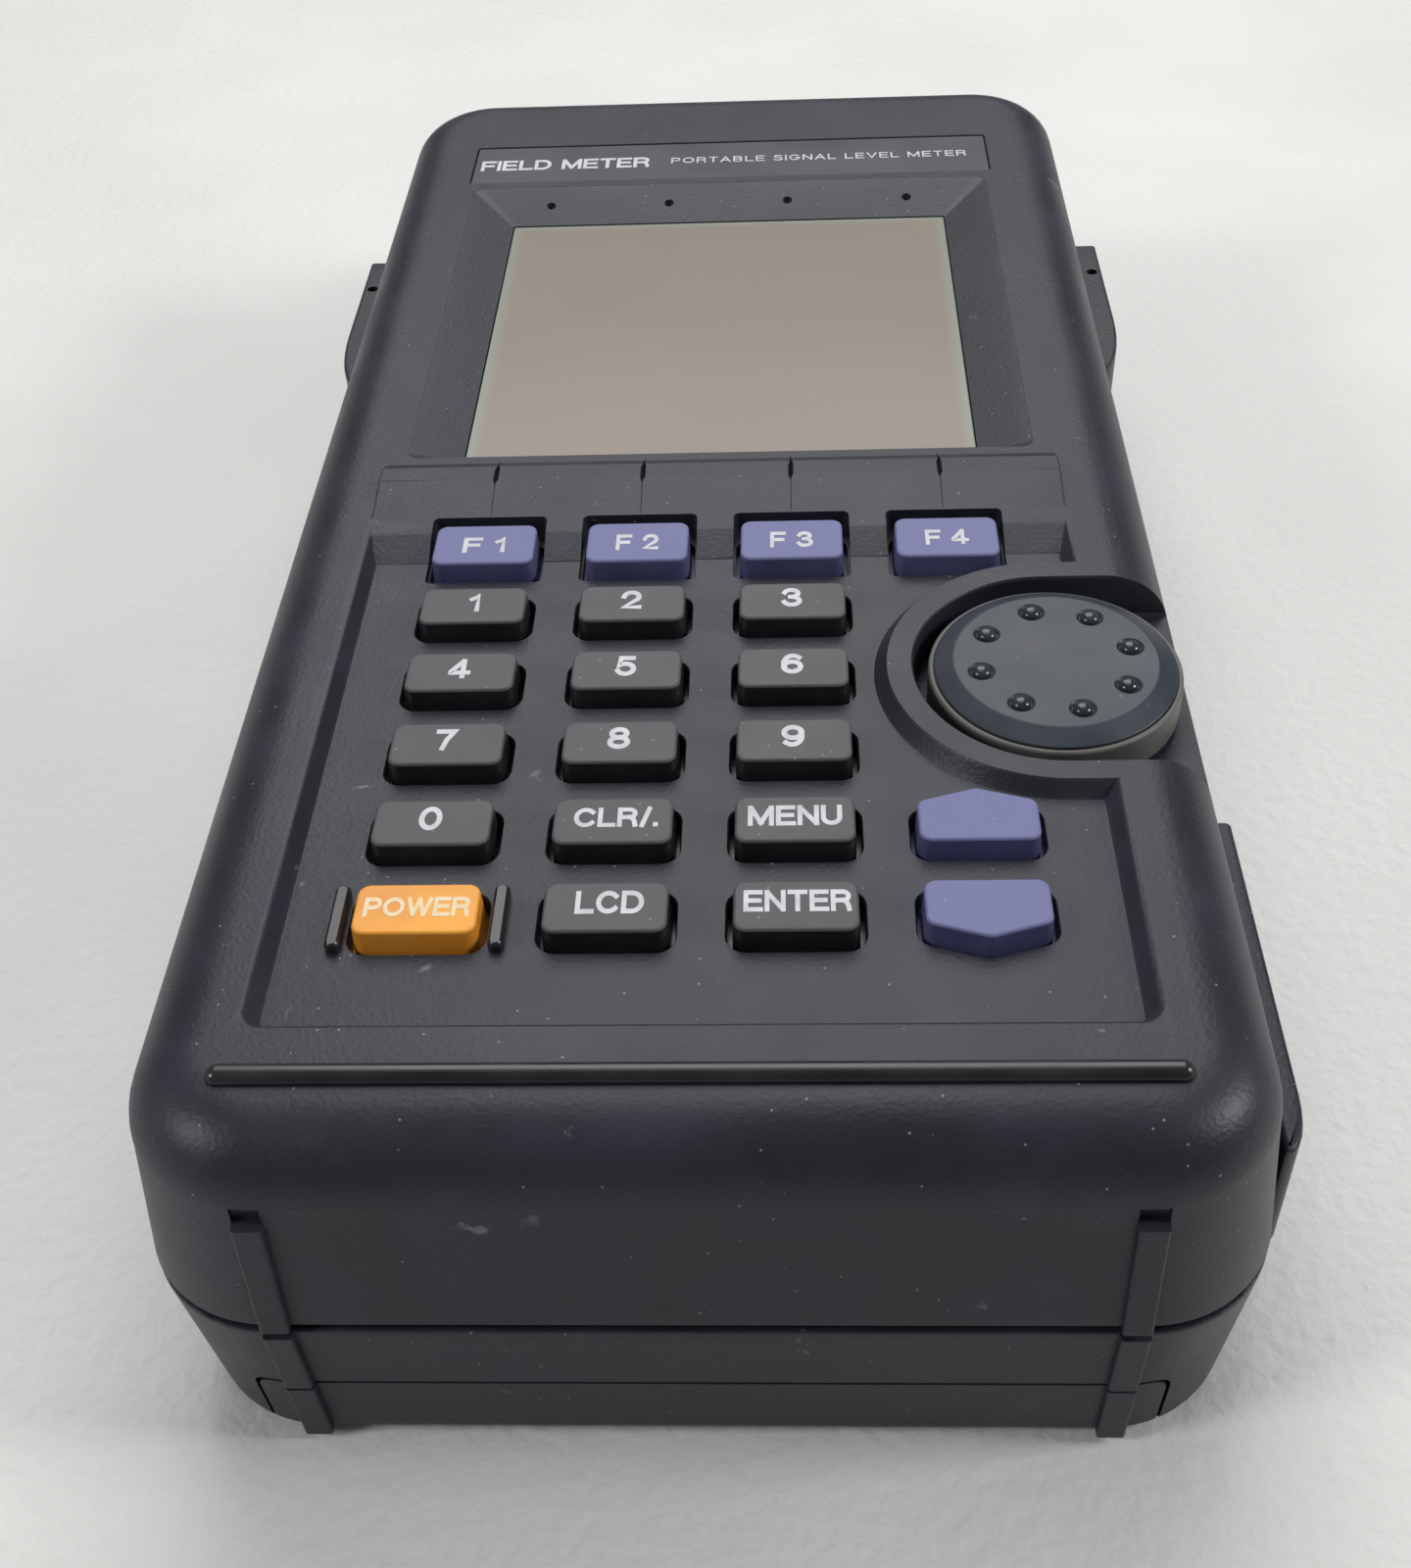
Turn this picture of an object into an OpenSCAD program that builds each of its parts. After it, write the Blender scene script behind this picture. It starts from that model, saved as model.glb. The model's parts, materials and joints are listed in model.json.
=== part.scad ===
// Hand-held field-strength meter: two case shells, a display, a keypad, a jog dial,
// side port cover, battery bay with a sliding door, and the boards inside.
// X runs across the case, +Y towards the aerial end, +Z out of the front panel.
// The origin is the centre of the underside.

/* [Case] */
// Width over the parting line
case_w = 105; // [105:1:130]
// Length over the parting line
case_l = 215; // [215:1:262]
// Height from the underside to the front rim
case_h = 45; // [44:0.5:54]
// Height of the parting plane
part_z = 21.7; // [21.2:0.1:23]
// How far the walls lean in above and below the parting line
draft = 1.4; // [0.5:0.1:2]
// Radius of the upright corners
corner_r = 13; // [11:0.5:15]
// Radius of the top edge
edge_r = 7.5; // [6:0.5:9]
// Radius of the bottom edge
base_r = 2.5; // [1.5:0.5:3.5]
// Thickness of the shell walls
wall = 2.4; // [2:0.1:2.9]
// Gap between the shells, filled by the seal
seam = 1; // [0.6:0.1:1.4]
// Width of the seal cord
seal_w = 1.2; // [1:0.1:1.6]
// Depth of the seal below the outer face
seal_inset = 0.9; // [0.6:0.1:1.2]

/* [Grip ribs on the near end] */
// Distance of each rib from the centre line
rib_x = 38.45; // [30:0.5:38.5]
// Width of a rib
rib_w = 2.7; // [2:0.1:3.5]
// Height of a rib above the end face
rib_h = 0.8; // [0.4:0.1:1.2]

/* [Front panel] */
// Depth of the keypad recess below the rim
recess_depth = 1.7; // [1.2:0.1:2.2]
// Thickness of the panel under the recess
panel_t = 2.2; // [1.8:0.1:2.6]
// Width of the rim beside the recess
recess_margin = 12.1; // [12:0.5:15]
// How far the recess walls lean
recess_lean = 0.9; // [0.5:0.1:1.2]
// Length of the slope that runs down from the ridge to the keypad
ramp_l = 13; // [10:0.5:15]
// Height of the ridge below the display
ridge_h = 1; // [0.5:0.1:1.5]
// Radius of the moulded bar near the user
bar_r = 1.1; // [0.6:0.1:1.2]
// Distance of the bar from the near end
bar_y = 10.5; // [10.2:0.1:11.5]

/* [Keys] */
// Distance from the near end to the first row
first_row = 29.7; // [29:0.1:32]
// Spacing of the columns
key_pitch_x = 17.65; // [17:0.05:18.5]
// Spacing of the rows
key_pitch_y = 11.45; // [11:0.05:12.5]
// Width of a key top
key_w = 11.5; // [9.5:0.1:13.8]
// Depth of a key top
key_d = 6.1; // [5:0.1:6.6]
// Depth of a function key
f_key_d = 7.2; // [6:0.1:7.4]
// Height of the key tops above the rim
key_rise = 0.5; // [0:0.1:1]
// Gap around a key in its pocket
key_gap = 0.75; // [0.4:0.05:0.9]
// Travel of a key
key_travel = 1.2; // [0.8:0.1:1.4]
// Width of the flange that keeps a key in
flange_w = 0.7; // [0.5:0.05:0.8]
// Diameter of a key's plunger
plunger_d = 3; // [2.4:0.1:3.2]

/* [Jog dial] */
// Radius over the rubber ring
dial_r = 13.3; // [11.4:0.1:14.5]
// Radius of the flat top of the dial
dial_flat_r = 10.6; // [8.5:0.1:11]
// Distance of the dial centre from the side of the case
dial_inset = 16.1; // [15.5:0.1:18]
// Gap between the ring and its pocket
dial_gap = 1.6; // [1:0.1:2]
// Width of the raised collar around the pocket
collar_w = 2.9; // [2:0.1:3.2]
// Depth of the pocket
dial_pocket = 5.5; // [5:0.1:6]
// Height of the dial top above the rim
dial_rise = 0.6; // [0.5:0.1:1.5]
// Number of finger bumps on the dial
bump_count = 8; // [6:1:10]
// Radius of the circle of bumps
bump_ring_r = 8.15; // [6:0.05:8.2]
// Radius of the encoder shaft
encoder_r = 3; // [2.5:0.1:3.5]

/* [Display] */
// Width of the visible window
window_w = 63.8; // [56:0.2:66]
// Length of the visible window
window_l = 63.2; // [56:0.2:66]
// Depth of the window below the rim
window_depth = 2.5; // [2:0.1:2.8]
// Thickness of the window lens
lens_t = 1.4; // [1:0.1:1.6]
// Width of the sloping bezel at the sides
bezel_side = 6.3; // [4:0.1:6.5]
// Width of the sloping bezel at the far end
bezel_far = 7.5; // [5:0.1:8]
// Length of the name strip along the case
strip_l = 12.2; // [10:0.1:13]
// Depth of the name strip recess
strip_depth = 0.6; // [0.4:0.1:1]

/* [Strap lugs] */
// How far a lug stands out from the centre line beyond the case side
lug_out = 2.7; // [2.5:0.1:3.5]
// Length of a lug's straight part
lug_l = 21.9; // [15:0.1:25]
// Length of a lug's run-out
lug_run = 14; // [10:0.5:16]
// Distance of the lug's far face from the far end
lug_far = 39.5; // [35:0.5:45]
// Radius of the cord hole
cord_hole_r = 0.8; // [0.6:0.05:0.9]

/* [Side port cover] */
// Length of the cover's straight part
cover_l = 36.1; // [34:0.1:38]
// Height of the cover
cover_h = 17; // [16:0.1:18]
// Thickness of the cover
cover_t = 2.6; // [2.4:0.1:3]
// Length of the run-out at the near end
cover_run = 6.6; // [5:0.1:8]
// Radius of the hinge pin
pin_r = 0.8; // [0.6:0.05:0.9]

/* [Battery bay] */
// Diameter of a cell
cell_d = 14.5; // [14:0.1:14.6]
// Length of a cell
cell_l = 50.5; // [49:0.1:51]
// Number of cells
cell_count = 5; // [4:1:5]
// Half-width of the battery door
door_half = 42.9; // [42:0.1:43.5]
// Height of the door's lip on the near end
door_lip = 10.9; // [9:0.1:12]
// Thickness of the door
door_t = 2.2; // [1.8:0.1:2.3]
// Gap around the door
door_gap = 0.4; // [0.3:0.05:0.6]

/* [Sockets on the far end] */
// Height of the sockets
socket_z = 28.5; // [28.5:0.1:30]
// Radius of the aerial socket's barrel
aerial_r = 5.55; // [4.8:0.05:5.6]
// Length of the aerial socket's barrel
aerial_l = 10; // [8:0.5:10.5]
// Place of the aerial socket across the case
aerial_x = -25; // [-28:1:-18]
// Radius of the earphone hole
phone_r = 1.8; // [1.6:0.05:1.9]
// Place of the earphone socket across the case
phone_x = 8; // [4:1:12]
// Radius of the charger socket's hole
charger_r = 3.2; // [2.8:0.1:3.4]
// Place of the charger socket across the case
charger_x = 27; // [24:1:30]

/* [Hidden] */
// Running clearance of shafts and pins
running = 0.05;
// Gap between a moving piece and its neighbour
clear = 0.35;
// Overshoot of a cut
cut = 1;
$fn = 48;
// Facets of a full turn on the hulled shell shapes
hull_fn = 32;

side_x = case_w / 2;
near_y = -case_l / 2;
far_y = case_l / 2;
floor_z = case_h - recess_depth;
ceiling_z = floor_z - panel_t;
upper_z = part_z + seam / 2;
lower_z = part_z - seam / 2;

// Rows count from the near end, columns from the left
row_y = [for (i = [0:5]) near_y + first_row + i * key_pitch_y];
col_x = [for (i = [0:3]) (i - 1.5) * key_pitch_x];

key_top_z = case_h + key_rise;
flange_z = ceiling_z - clear;
flange_t = 1;
mat_t = 1;
board_t = 1.6;
plunger_l = 1.2;
plunger_z = flange_z - flange_t - plunger_l;
mat_z = plunger_z - key_travel - clear - mat_t;
key_board_z = mat_z - board_t;

kink_y = row_y[5] + f_key_d / 2 + 2.3;
recess_near_y = row_y[0] - 12.9;
recess_half = side_x - recess_margin;
ridge_back_y = kink_y + 11.3;
bezel_near_y = kink_y + 12.9;
bezel_near = 2.2;
window_near_y = bezel_near_y + bezel_near;
window_far_y = window_near_y + window_l;
bezel_far_y = window_far_y + bezel_far;
strip_near_y = bezel_far_y + 1.9;
strip_half = window_w / 2 + bezel_side + 1.2;

dial_x = side_x - dial_inset;
dial_y = row_y[3] + 0.45;
pocket_r = dial_r + dial_gap;
collar_r = pocket_r + collar_w;
pocket_z = case_h - dial_pocket;
pocket_floor_t = 1.8;
dial_hub_z = case_h - 1;
dial_ring_z = case_h - 0.7;
dial_ring_l = 4;
dial_ring_t = 1.2;
encoder_half = 6;
encoder_l = 6.5;
bush_r = encoder_r + 1.5;

lug_x = side_x + lug_out;
lug_top_z = 35;
lug_base_z = upper_z + 0.5;
lug_y = far_y - lug_far;
cord_hole_x = lug_x - 1.5;
cord_hole_y = lug_y - 8.4;

cover_in_x = side_x + 0.3;
cover_out_x = cover_in_x + cover_t;
cover_z = 12.7;
cover_far_y = near_y + 56.2;
cover_near_y = cover_far_y - cover_l;
hinge_x = cover_in_x + cover_t / 2;
hinge_z = cover_z + cover_t / 2;
knuckle_l = 4;
knuckle_y = [cover_far_y - 9, cover_near_y + 9];
port_y = (cover_far_y + cover_near_y) / 2;
port_z = 24.4;
port_w = 17;
port_h = 8.4;
port_gap = 0.35;

bay_wall = 1.5;
contact_space = 2;
cell_z = door_t + 0.45 + cell_d / 2;
cells_half = cell_count * cell_d / 2;
bay_half = cells_half + 0.8;
bay_near_y = near_y + draft + wall + 0.4;
bay_far_y = bay_near_y + cell_l + 2 * contact_space;
bay_roof_z = cell_z + cell_d / 2 + 0.5;
shelf_z = bay_roof_z + bay_wall;
door_far_y = bay_far_y + 3;

screw_x = side_x - 8.5;
screw_y = [bay_far_y + 28, far_y - 10];
screw_r = 1.5;
screw_head_r = 2.75;
boss_r = 3.6;
post_y = [recess_near_y + 5.2, kink_y - 2];
post_x = recess_half - 1.9;

main_board_z = 24;
main_near_y = kink_y - 3;
main_far_y = far_y - 13;
module_half = 38;
module_near_y = 4;
module_far_y = far_y - 17;
module_z = 9;
lid_t = 0.8;
lens_z = case_h - window_depth - 0.1 - lens_t;
lens_lip_z = ceiling_z - lens_t;
lcd_t = 6;

speaker_r = 13;
speaker_x = -22;
speaker_y = bay_far_y + 22;
socket_wall_y = far_y + 0.2;
socket_boss_l = wall + draft + 0.6;
nut_t = 2.2;

charcoal = "#3b3d41";
soft_black = "#17181a";
key_grey = "#4f5050";
violet = "#7a7aa8";
orange = "#e59a35";
metal = "#b4b6b8";
brass_tone = "#b08d4a";
board_green = "#2c5a3c";

// Name, column, row, outline and colour of each key
KEYS = [
  ["key_power", 0, 0, "plain", orange],
  ["key_lcd", 1, 0, "plain", key_grey],
  ["key_enter", 2, 0, "plain", key_grey],
  ["key_down", 3, 0, "down", violet],
  ["key_0", 0, 1, "plain", key_grey],
  ["key_clear", 1, 1, "plain", key_grey],
  ["key_menu", 2, 1, "plain", key_grey],
  ["key_up", 3, 1, "up", violet],
  ["key_7", 0, 2, "plain", key_grey],
  ["key_8", 1, 2, "plain", key_grey],
  ["key_9", 2, 2, "plain", key_grey],
  ["key_4", 0, 3, "plain", key_grey],
  ["key_5", 1, 3, "plain", key_grey],
  ["key_6", 2, 3, "plain", key_grey],
  ["key_1", 0, 4, "plain", key_grey],
  ["key_2", 1, 4, "plain", key_grey],
  ["key_3", 2, 4, "plain", key_grey],
  ["key_f1", 0, 5, "function", violet],
  ["key_f2", 1, 5, "function", violet],
  ["key_f3", 2, 5, "function", violet],
  ["key_f4", 3, 5, "function", violet],
];

// ---- outlines -------------------------------------------------------------

// A rectangle with rounded corners, as a list of points
function rounded(w, l, r, n = 3) = [
  for (q = [0:3], i = [0:n])
    let (a = 90 * q + 90 * i / n)
    [
      (q == 0 || q == 3 ? 1 : -1) * (w / 2 - r) + r * cos(a),
      (q < 2 ? 1 : -1) * (l / 2 - r) + r * sin(a)
    ]
];

// A key that points towards +Y, grown by e on every side
function arrow(e) = [
  [-(key_w / 2 + e), -3.05 - e],
  [key_w / 2 + e, -3.05 - e],
  [key_w / 2 + e, 2.25 + 0.8 * e],
  [0, 4.05 + e],
  [-(key_w / 2 + e), 2.25 + 0.8 * e]
];

module key_outline(shape, e) {
  if (shape == "plain") polygon(rounded(key_w + 2 * e, key_d + 2 * e, 1 + e / 2));
  if (shape == "function") polygon(rounded(key_w + 2 * e, f_key_d + 2 * e, 1 + e / 2));
  if (shape == "up") polygon(arrow(e));
  if (shape == "down") mirror([0, 1]) polygon(arrow(e));
}

module at_key(k) {
  translate([col_x[k[1]], row_y[k[2]], 0]) children();
}

// A box given by its low and high corners
module block(low, high) {
  translate(low) cube([for (i = [0:2]) high[i] - low[i]]);
}

module at_corners(x, y) {
  for (sx = [-1, 1], sy = [-1, 1]) translate([sx * x, sy * y, 0]) children();
}

// ---- shell shapes ---------------------------------------------------------

// Quarter round of radius e at the edge of a disc of radius r, as a list of points
function edge_arc(r, e) = [for (a = [0:11.25:90]) [r - e + e * cos(a), e * sin(a)]];

// Upper outer form, or the hollow inside it when grown inwards by t
module upper_form(t, top_z) {
  r = corner_r - t;
  e = max(edge_r - t, 1);
  hull() {
    at_corners(side_x - corner_r, far_y - corner_r)
      translate([0, 0, part_z]) cylinder(r = r, h = 0.01, $fn = hull_fn);
    at_corners(side_x - corner_r - draft, far_y - corner_r - draft)
      translate([0, 0, top_z - e])
        rotate_extrude($fn = hull_fn) polygon(concat([[0, 0]], edge_arc(r, e), [[0, e]]));
  }
}

// Lower outer form, or the hollow inside it when grown inwards by t
module lower_form(t, base_z) {
  r = corner_r - t;
  hull() {
    at_corners(side_x - corner_r, far_y - corner_r)
      translate([0, 0, part_z]) cylinder(r = r, h = 0.01, $fn = hull_fn);
    at_corners(side_x - corner_r - draft, far_y - corner_r - draft)
      translate([0, 0, base_z + base_r])
        mirror([0, 0, 1])
          rotate_extrude($fn = hull_fn)
            polygon(concat([[0, 0]], edge_arc(r, base_r), [[0, base_r]]));
  }
}

// Slices of the near end face that become the grip ribs
module rib_zone(low_z, high_z) {
  for (s = [-1, 1])
    block([s * rib_x - rib_w / 2, near_y - 3, low_z], [s * rib_x + rib_w / 2, near_y + 4, high_z]);
}

// ---- cuts in the front panel ----------------------------------------------

// U-shaped form around the dial, open to the side of the case
module dial_u(r, low_z, high_z) {
  translate([dial_x, dial_y, low_z]) cylinder(r = r, h = high_z - low_z, $fn = 96);
  block([dial_x, dial_y - r, low_z], [side_x + 6, dial_y + r, high_z]);
}

module recess() {
  difference() {
    hull() {
      translate([0, (recess_near_y + kink_y) / 2, floor_z])
        linear_extrude(0.01)
          polygon(rounded(2 * (recess_half - recess_lean), kink_y - recess_near_y, 1.5));
      translate([0, (recess_near_y + kink_y) / 2, case_h])
        linear_extrude(cut)
          polygon(rounded(2 * recess_half, kink_y - recess_near_y + 2 * recess_lean, 2));
    }
    ramp();
    difference() {
      dial_u(collar_r, floor_z - cut, case_h + 2 * cut);
      block([recess_half, near_y, 0], [side_x + 9, far_y, case_h + 9]);
    }
  }
}

// Slope from the foot of the ridge down to the keypad floor
module ramp() {
  rotate([90, 0, 90])
    translate([0, 0, -side_x])
      linear_extrude(case_w)
        polygon([
          [kink_y - ramp_l, floor_z - cut],
          [kink_y - ramp_l, floor_z],
          [kink_y, case_h],
          [kink_y, case_h + 3 * cut],
          [kink_y + 9, case_h + 3 * cut],
          [kink_y + 9, floor_z - cut]
        ]);
}

// Raised ridge between the display and the function keys
module ridge() {
  rotate([90, 0, 90])
    translate([0, 0, -recess_half])
      linear_extrude(2 * recess_half)
        polygon([
          [kink_y, case_h - 0.5],
          [kink_y, case_h],
          [kink_y + 6.3, case_h + ridge_h],
          [kink_y + 8.6, case_h + ridge_h],
          [ridge_back_y, case_h],
          [ridge_back_y, case_h - 0.5]
        ]);
}

module ridge_notches() {
  for (x = col_x)
    block([x - 0.25, kink_y + 0.2, case_h + 0.1], [x + 0.25, ridge_back_y, case_h + 3]);
}

module bezel() {
  mid_y = (window_near_y + window_far_y) / 2;
  rim_mid_y = (bezel_near_y + bezel_far_y) / 2;
  hull() {
    translate([0, mid_y, case_h - window_depth])
      linear_extrude(0.01) square([window_w, window_l], center = true);
    translate([0, rim_mid_y, case_h])
      linear_extrude(cut)
        square([window_w + 2 * bezel_side, bezel_far_y - bezel_near_y], center = true);
  }
  block([-window_w / 2, window_near_y, 0], [window_w / 2, window_far_y, case_h]);
}

module bezel_marks() {
  for (x = col_x)
    translate([x, bezel_far_y - bezel_far / 2, case_h - window_depth / 2 - 0.5])
      cylinder(r = 0.7, h = 4);
}

module strip_recess() {
  block(
    [-strip_half, strip_near_y, case_h - strip_depth],
    [strip_half, strip_near_y + strip_l, case_h + cut]
  );
}

module key_pockets() {
  for (k = KEYS)
    at_key(k) {
      translate([0, 0, ceiling_z - cut])
        linear_extrude(case_h) key_outline(k[3], key_gap);
      if (k[3] == "function")
        translate([-key_w / 2 - key_gap, 0, floor_z - panel_t / 2])
          cube([key_w + 2 * key_gap, f_key_d / 2 + 2.1, case_h]);
    }
}

module guard_bars() {
  for (s = [-1, 1])
    translate([col_x[0] + s * (key_w / 2 + 1.85) - 0.75, row_y[0] - 3.8, floor_z - 0.2])
      cube([1.5, 7.9, 1.4]);
}

module front_bar() {
  translate([-side_x + 10.3, near_y + bar_y, case_h])
    rotate([0, 90, 0]) cylinder(r = bar_r, h = case_w - 20.6);
}

// ---- strap lugs and bosses -------------------------------------------------

module lug() {
  difference() {
    translate([0, 0, lug_base_z])
      linear_extrude(lug_top_z - lug_base_z)
        polygon(concat(
          [[side_x - 2.2, lug_y], [lug_x, lug_y]],
          [for (a = [0:15:90]) [
            side_x - 1 + (lug_out + 1) * cos(a),
            lug_y - lug_l - lug_run * sin(a)
          ]],
          [[side_x - 2.2, lug_y - lug_l - lug_run]]
        ));
    translate([cord_hole_x, cord_hole_y, lug_base_z - cut])
      cylinder(r = cord_hole_r, h = lug_top_z - lug_base_z + 2 * cut);
  }
}

module screw_places() {
  for (s = [-1, 1], y = screw_y) translate([s * screw_x, y, 0]) children();
}

module board_posts() {
  for (s = [-1, 1], y = post_y) translate([s * post_x, y, 0]) children();
}

module dial_housing() {
  intersection() {
    dial_u(pocket_r + pocket_floor_t, pocket_z - pocket_floor_t, ceiling_z + 0.5);
    upper_form(0.3, case_h - 0.3);
  }
}

module port_cut(grow) {
  block(
    [side_x - 6, port_y - port_w / 2 - grow, port_z - port_h / 2 - grow],
    [side_x + 6, port_y + port_w / 2 + grow, port_z + port_h / 2 + grow]
  );
}

// ---- shells ----------------------------------------------------------------

module top_case() {
  color(charcoal) {
    difference() {
      union() {
        difference() {
          upper_form(0, case_h);
          upper_form(wall, ceiling_z);
        }
        intersection() {
          translate([0, -rib_h, 0]) upper_form(0, case_h);
          rib_zone(upper_z, case_h - edge_r - 1.1);
        }
        dial_housing();
        ridge();
        front_bar();
        lug();
        mirror([1, 0, 0]) lug();
        screw_places()
          translate([0, 0, upper_z]) cylinder(r = boss_r, h = ceiling_z - upper_z + 0.5);
        board_posts()
          translate([0, 0, key_board_z + board_t])
            cylinder(r = 2.6, h = ceiling_z - key_board_z - board_t + 0.5);
        translate([aerial_x, socket_wall_y, socket_z])
          rotate([90, 0, 0]) cylinder(r = aerial_r + 1.4, h = socket_boss_l);
      }
      block([-case_w, -case_l, 0], [case_w, case_l, upper_z]);
      recess();
      bezel();
      bezel_marks();
      strip_recess();
      key_pockets();
      ridge_notches();
      dial_u(pocket_r, pocket_z, case_h + 5);
      translate([dial_x, dial_y, 0]) cylinder(r = bush_r + running, h = case_h);
      screw_places() cylinder(r = screw_r + running, h = upper_z + 9);
      board_posts()
        translate([0, 0, key_board_z]) cylinder(r = 1.05, h = 5);
      port_cut(port_gap);
      for (s = [-1, 1])
        translate([s * rib_x, near_y + 0.6, case_h - edge_r - 0.15])
          cube([rib_w, 4, 1.9], center = true);
      translate([aerial_x, far_y - 8, socket_z])
        rotate([-90, 0, 0]) cylinder(r = aerial_r - 0.9 + running, h = 12);
      translate([phone_x, far_y - 8, socket_z])
        rotate([-90, 0, 0]) cylinder(r = phone_r + 1.2 + running, h = 12);
      translate([charger_x, far_y - 8, socket_z])
        rotate([-90, 0, 0]) cylinder(r = charger_r + 1.2 + running, h = 12);
    }
    guard_bars();
  }
}

module door_zone(grow) {
  block([-door_half - grow, near_y - 3, -1], [door_half + grow, door_far_y + grow, door_t + grow]);
  block(
    [-door_half - grow, near_y - 3, -1],
    [door_half + grow, near_y + draft + door_t + 0.3 + grow, door_lip + grow]
  );
}

module bay_space() {
  block([-bay_half, bay_near_y, -cut], [bay_half, bay_far_y, bay_roof_z]);
}

module bay_walls() {
  difference() {
    block(
      [-bay_half - bay_wall, near_y + draft + 1, door_t + door_gap],
      [bay_half + bay_wall, bay_far_y + bay_wall, bay_roof_z + bay_wall]
    );
    bay_space();
  }
}

module bottom_case() {
  color(charcoal)
    difference() {
      union() {
        difference() {
          lower_form(0, 0);
          lower_form(wall, wall);
        }
        intersection() {
          translate([0, -rib_h, 0]) lower_form(0, 0);
          rib_zone(door_lip, lower_z);
        }
        bay_walls();
        block(
          [-side_x + 2, near_y + 14, bay_roof_z],
          [side_x - 2, bay_far_y + bay_wall, shelf_z]
        );
        for (s = [-1, 1], y = [module_near_y + 8, module_far_y - 8])
          translate([s * (module_half - 8), y, 0]) cylinder(r = 3, h = module_z - lid_t);
        screw_places() cylinder(r = boss_r, h = lower_z);
        for (y = knuckle_y) {
          translate([hinge_x, y - knuckle_l / 2, hinge_z])
            rotate([-90, 0, 0]) cylinder(r = cover_t / 2 - 0.1, h = knuckle_l);
          block([side_x - 3, y - knuckle_l / 2, hinge_z - 1], [hinge_x, y + knuckle_l / 2, hinge_z + 1]);
        }
      }
      block([-case_w, -case_l, lower_z], [case_w, case_l, case_h]);
      bay_space();
      door_zone(door_gap);
      screw_places() {
        translate([0, 0, -cut]) cylinder(r = screw_r + 0.1, h = case_h);
        translate([0, 0, -cut]) cylinder(r = screw_head_r + 0.25, h = 3 + cut);
      }
      port_cut(port_gap);
      speaker_slots();
      translate([hinge_x, port_y - cover_l, hinge_z])
        rotate([-90, 0, 0]) cylinder(r = pin_r, h = 2 * cover_l);
    }
}

module speaker_slots() {
  for (i = [-3:3]) {
    half = sqrt(100 - 9 * i * i);
    block(
      [speaker_x + 3 * i - 0.6, speaker_y - half, -cut],
      [speaker_x + 3 * i + 0.6, speaker_y + half, wall + cut]
    );
  }
}

module case_seal() {
  outer_w = case_w - 2 * seal_inset;
  outer_l = case_l - 2 * seal_inset;
  color(soft_black)
    difference() {
      translate([0, 0, lower_z])
        linear_extrude(seam)
          difference() {
            polygon(rounded(outer_w, outer_l, corner_r - seal_inset, 8));
            polygon(rounded(
              outer_w - 2 * seal_w, outer_l - 2 * seal_w, corner_r - seal_inset - seal_w, 8
            ));
          }
      port_cut(port_gap);
    }
}

module battery_door() {
  color(charcoal)
    difference() {
      union() {
        intersection() {
          lower_form(0, 0);
          door_zone(0);
        }
        intersection() {
          translate([0, -rib_h, 0]) lower_form(0, 0);
          rib_zone(base_r / 2, door_lip);
        }
      }
      for (i = [0:4])
        block([-12, door_far_y - 14 + 2.4 * i, -cut], [12, door_far_y - 13 + 2.4 * i, 0.5]);
    }
}

// ---- side port cover --------------------------------------------------------

module side_cover() {
  color(charcoal)
    difference() {
      union() {
        translate([0, 0, hinge_z])
          linear_extrude(cover_h - cover_t / 2)
            polygon(concat(
              [[cover_in_x, cover_far_y], [cover_out_x - 1, cover_far_y]],
              [[cover_out_x - 0.3, cover_far_y - 0.3], [cover_out_x, cover_far_y - 1]],
              [for (a = [0:15:90]) [
                cover_in_x + 0.4 + (cover_t - 0.4) * cos(a),
                cover_near_y - cover_run * sin(a)
              ]],
              [[cover_in_x, cover_near_y - cover_run]]
            ));
        translate([hinge_x, cover_near_y, hinge_z])
          rotate([-90, 0, 0]) cylinder(r = cover_t / 2, h = cover_l - 1);
      }
      for (y = knuckle_y)
        block(
          [cover_in_x - 1, y - knuckle_l / 2 - clear, cover_z - 1],
          [cover_out_x + 1, y + knuckle_l / 2 + clear, hinge_z + cover_t / 2 + clear]
        );
      translate([hinge_x, cover_near_y - cover_run - cut, hinge_z])
        rotate([-90, 0, 0]) cylinder(r = pin_r + running, h = cover_l + cover_run);
    }
}

module side_cover_pin() {
  color(metal)
    translate([hinge_x, cover_near_y + 1.5, hinge_z])
      rotate([-90, 0, 0]) cylinder(r = pin_r, h = cover_l - 4);
}

// ---- jog dial ---------------------------------------------------------------

module dial_hub() {
  color(soft_black)
    translate([dial_x, dial_y, 0])
      difference() {
        union() {
          translate([0, 0, pocket_z + clear])
            cylinder(r = dial_r - dial_ring_t, h = dial_hub_z - pocket_z - clear);
          translate([0, 0, pocket_z - pocket_floor_t - encoder_l - 1])
            cylinder(r = encoder_r, h = pocket_floor_t + encoder_l + 2);
        }
        difference() {
          translate([0, 0, pocket_z + clear - cut]) cylinder(r = bush_r + 2, h = cut + 2.2);
          translate([0, 0, pocket_z - 3]) cylinder(r = encoder_r, h = 9);
        }
      }
}

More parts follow.
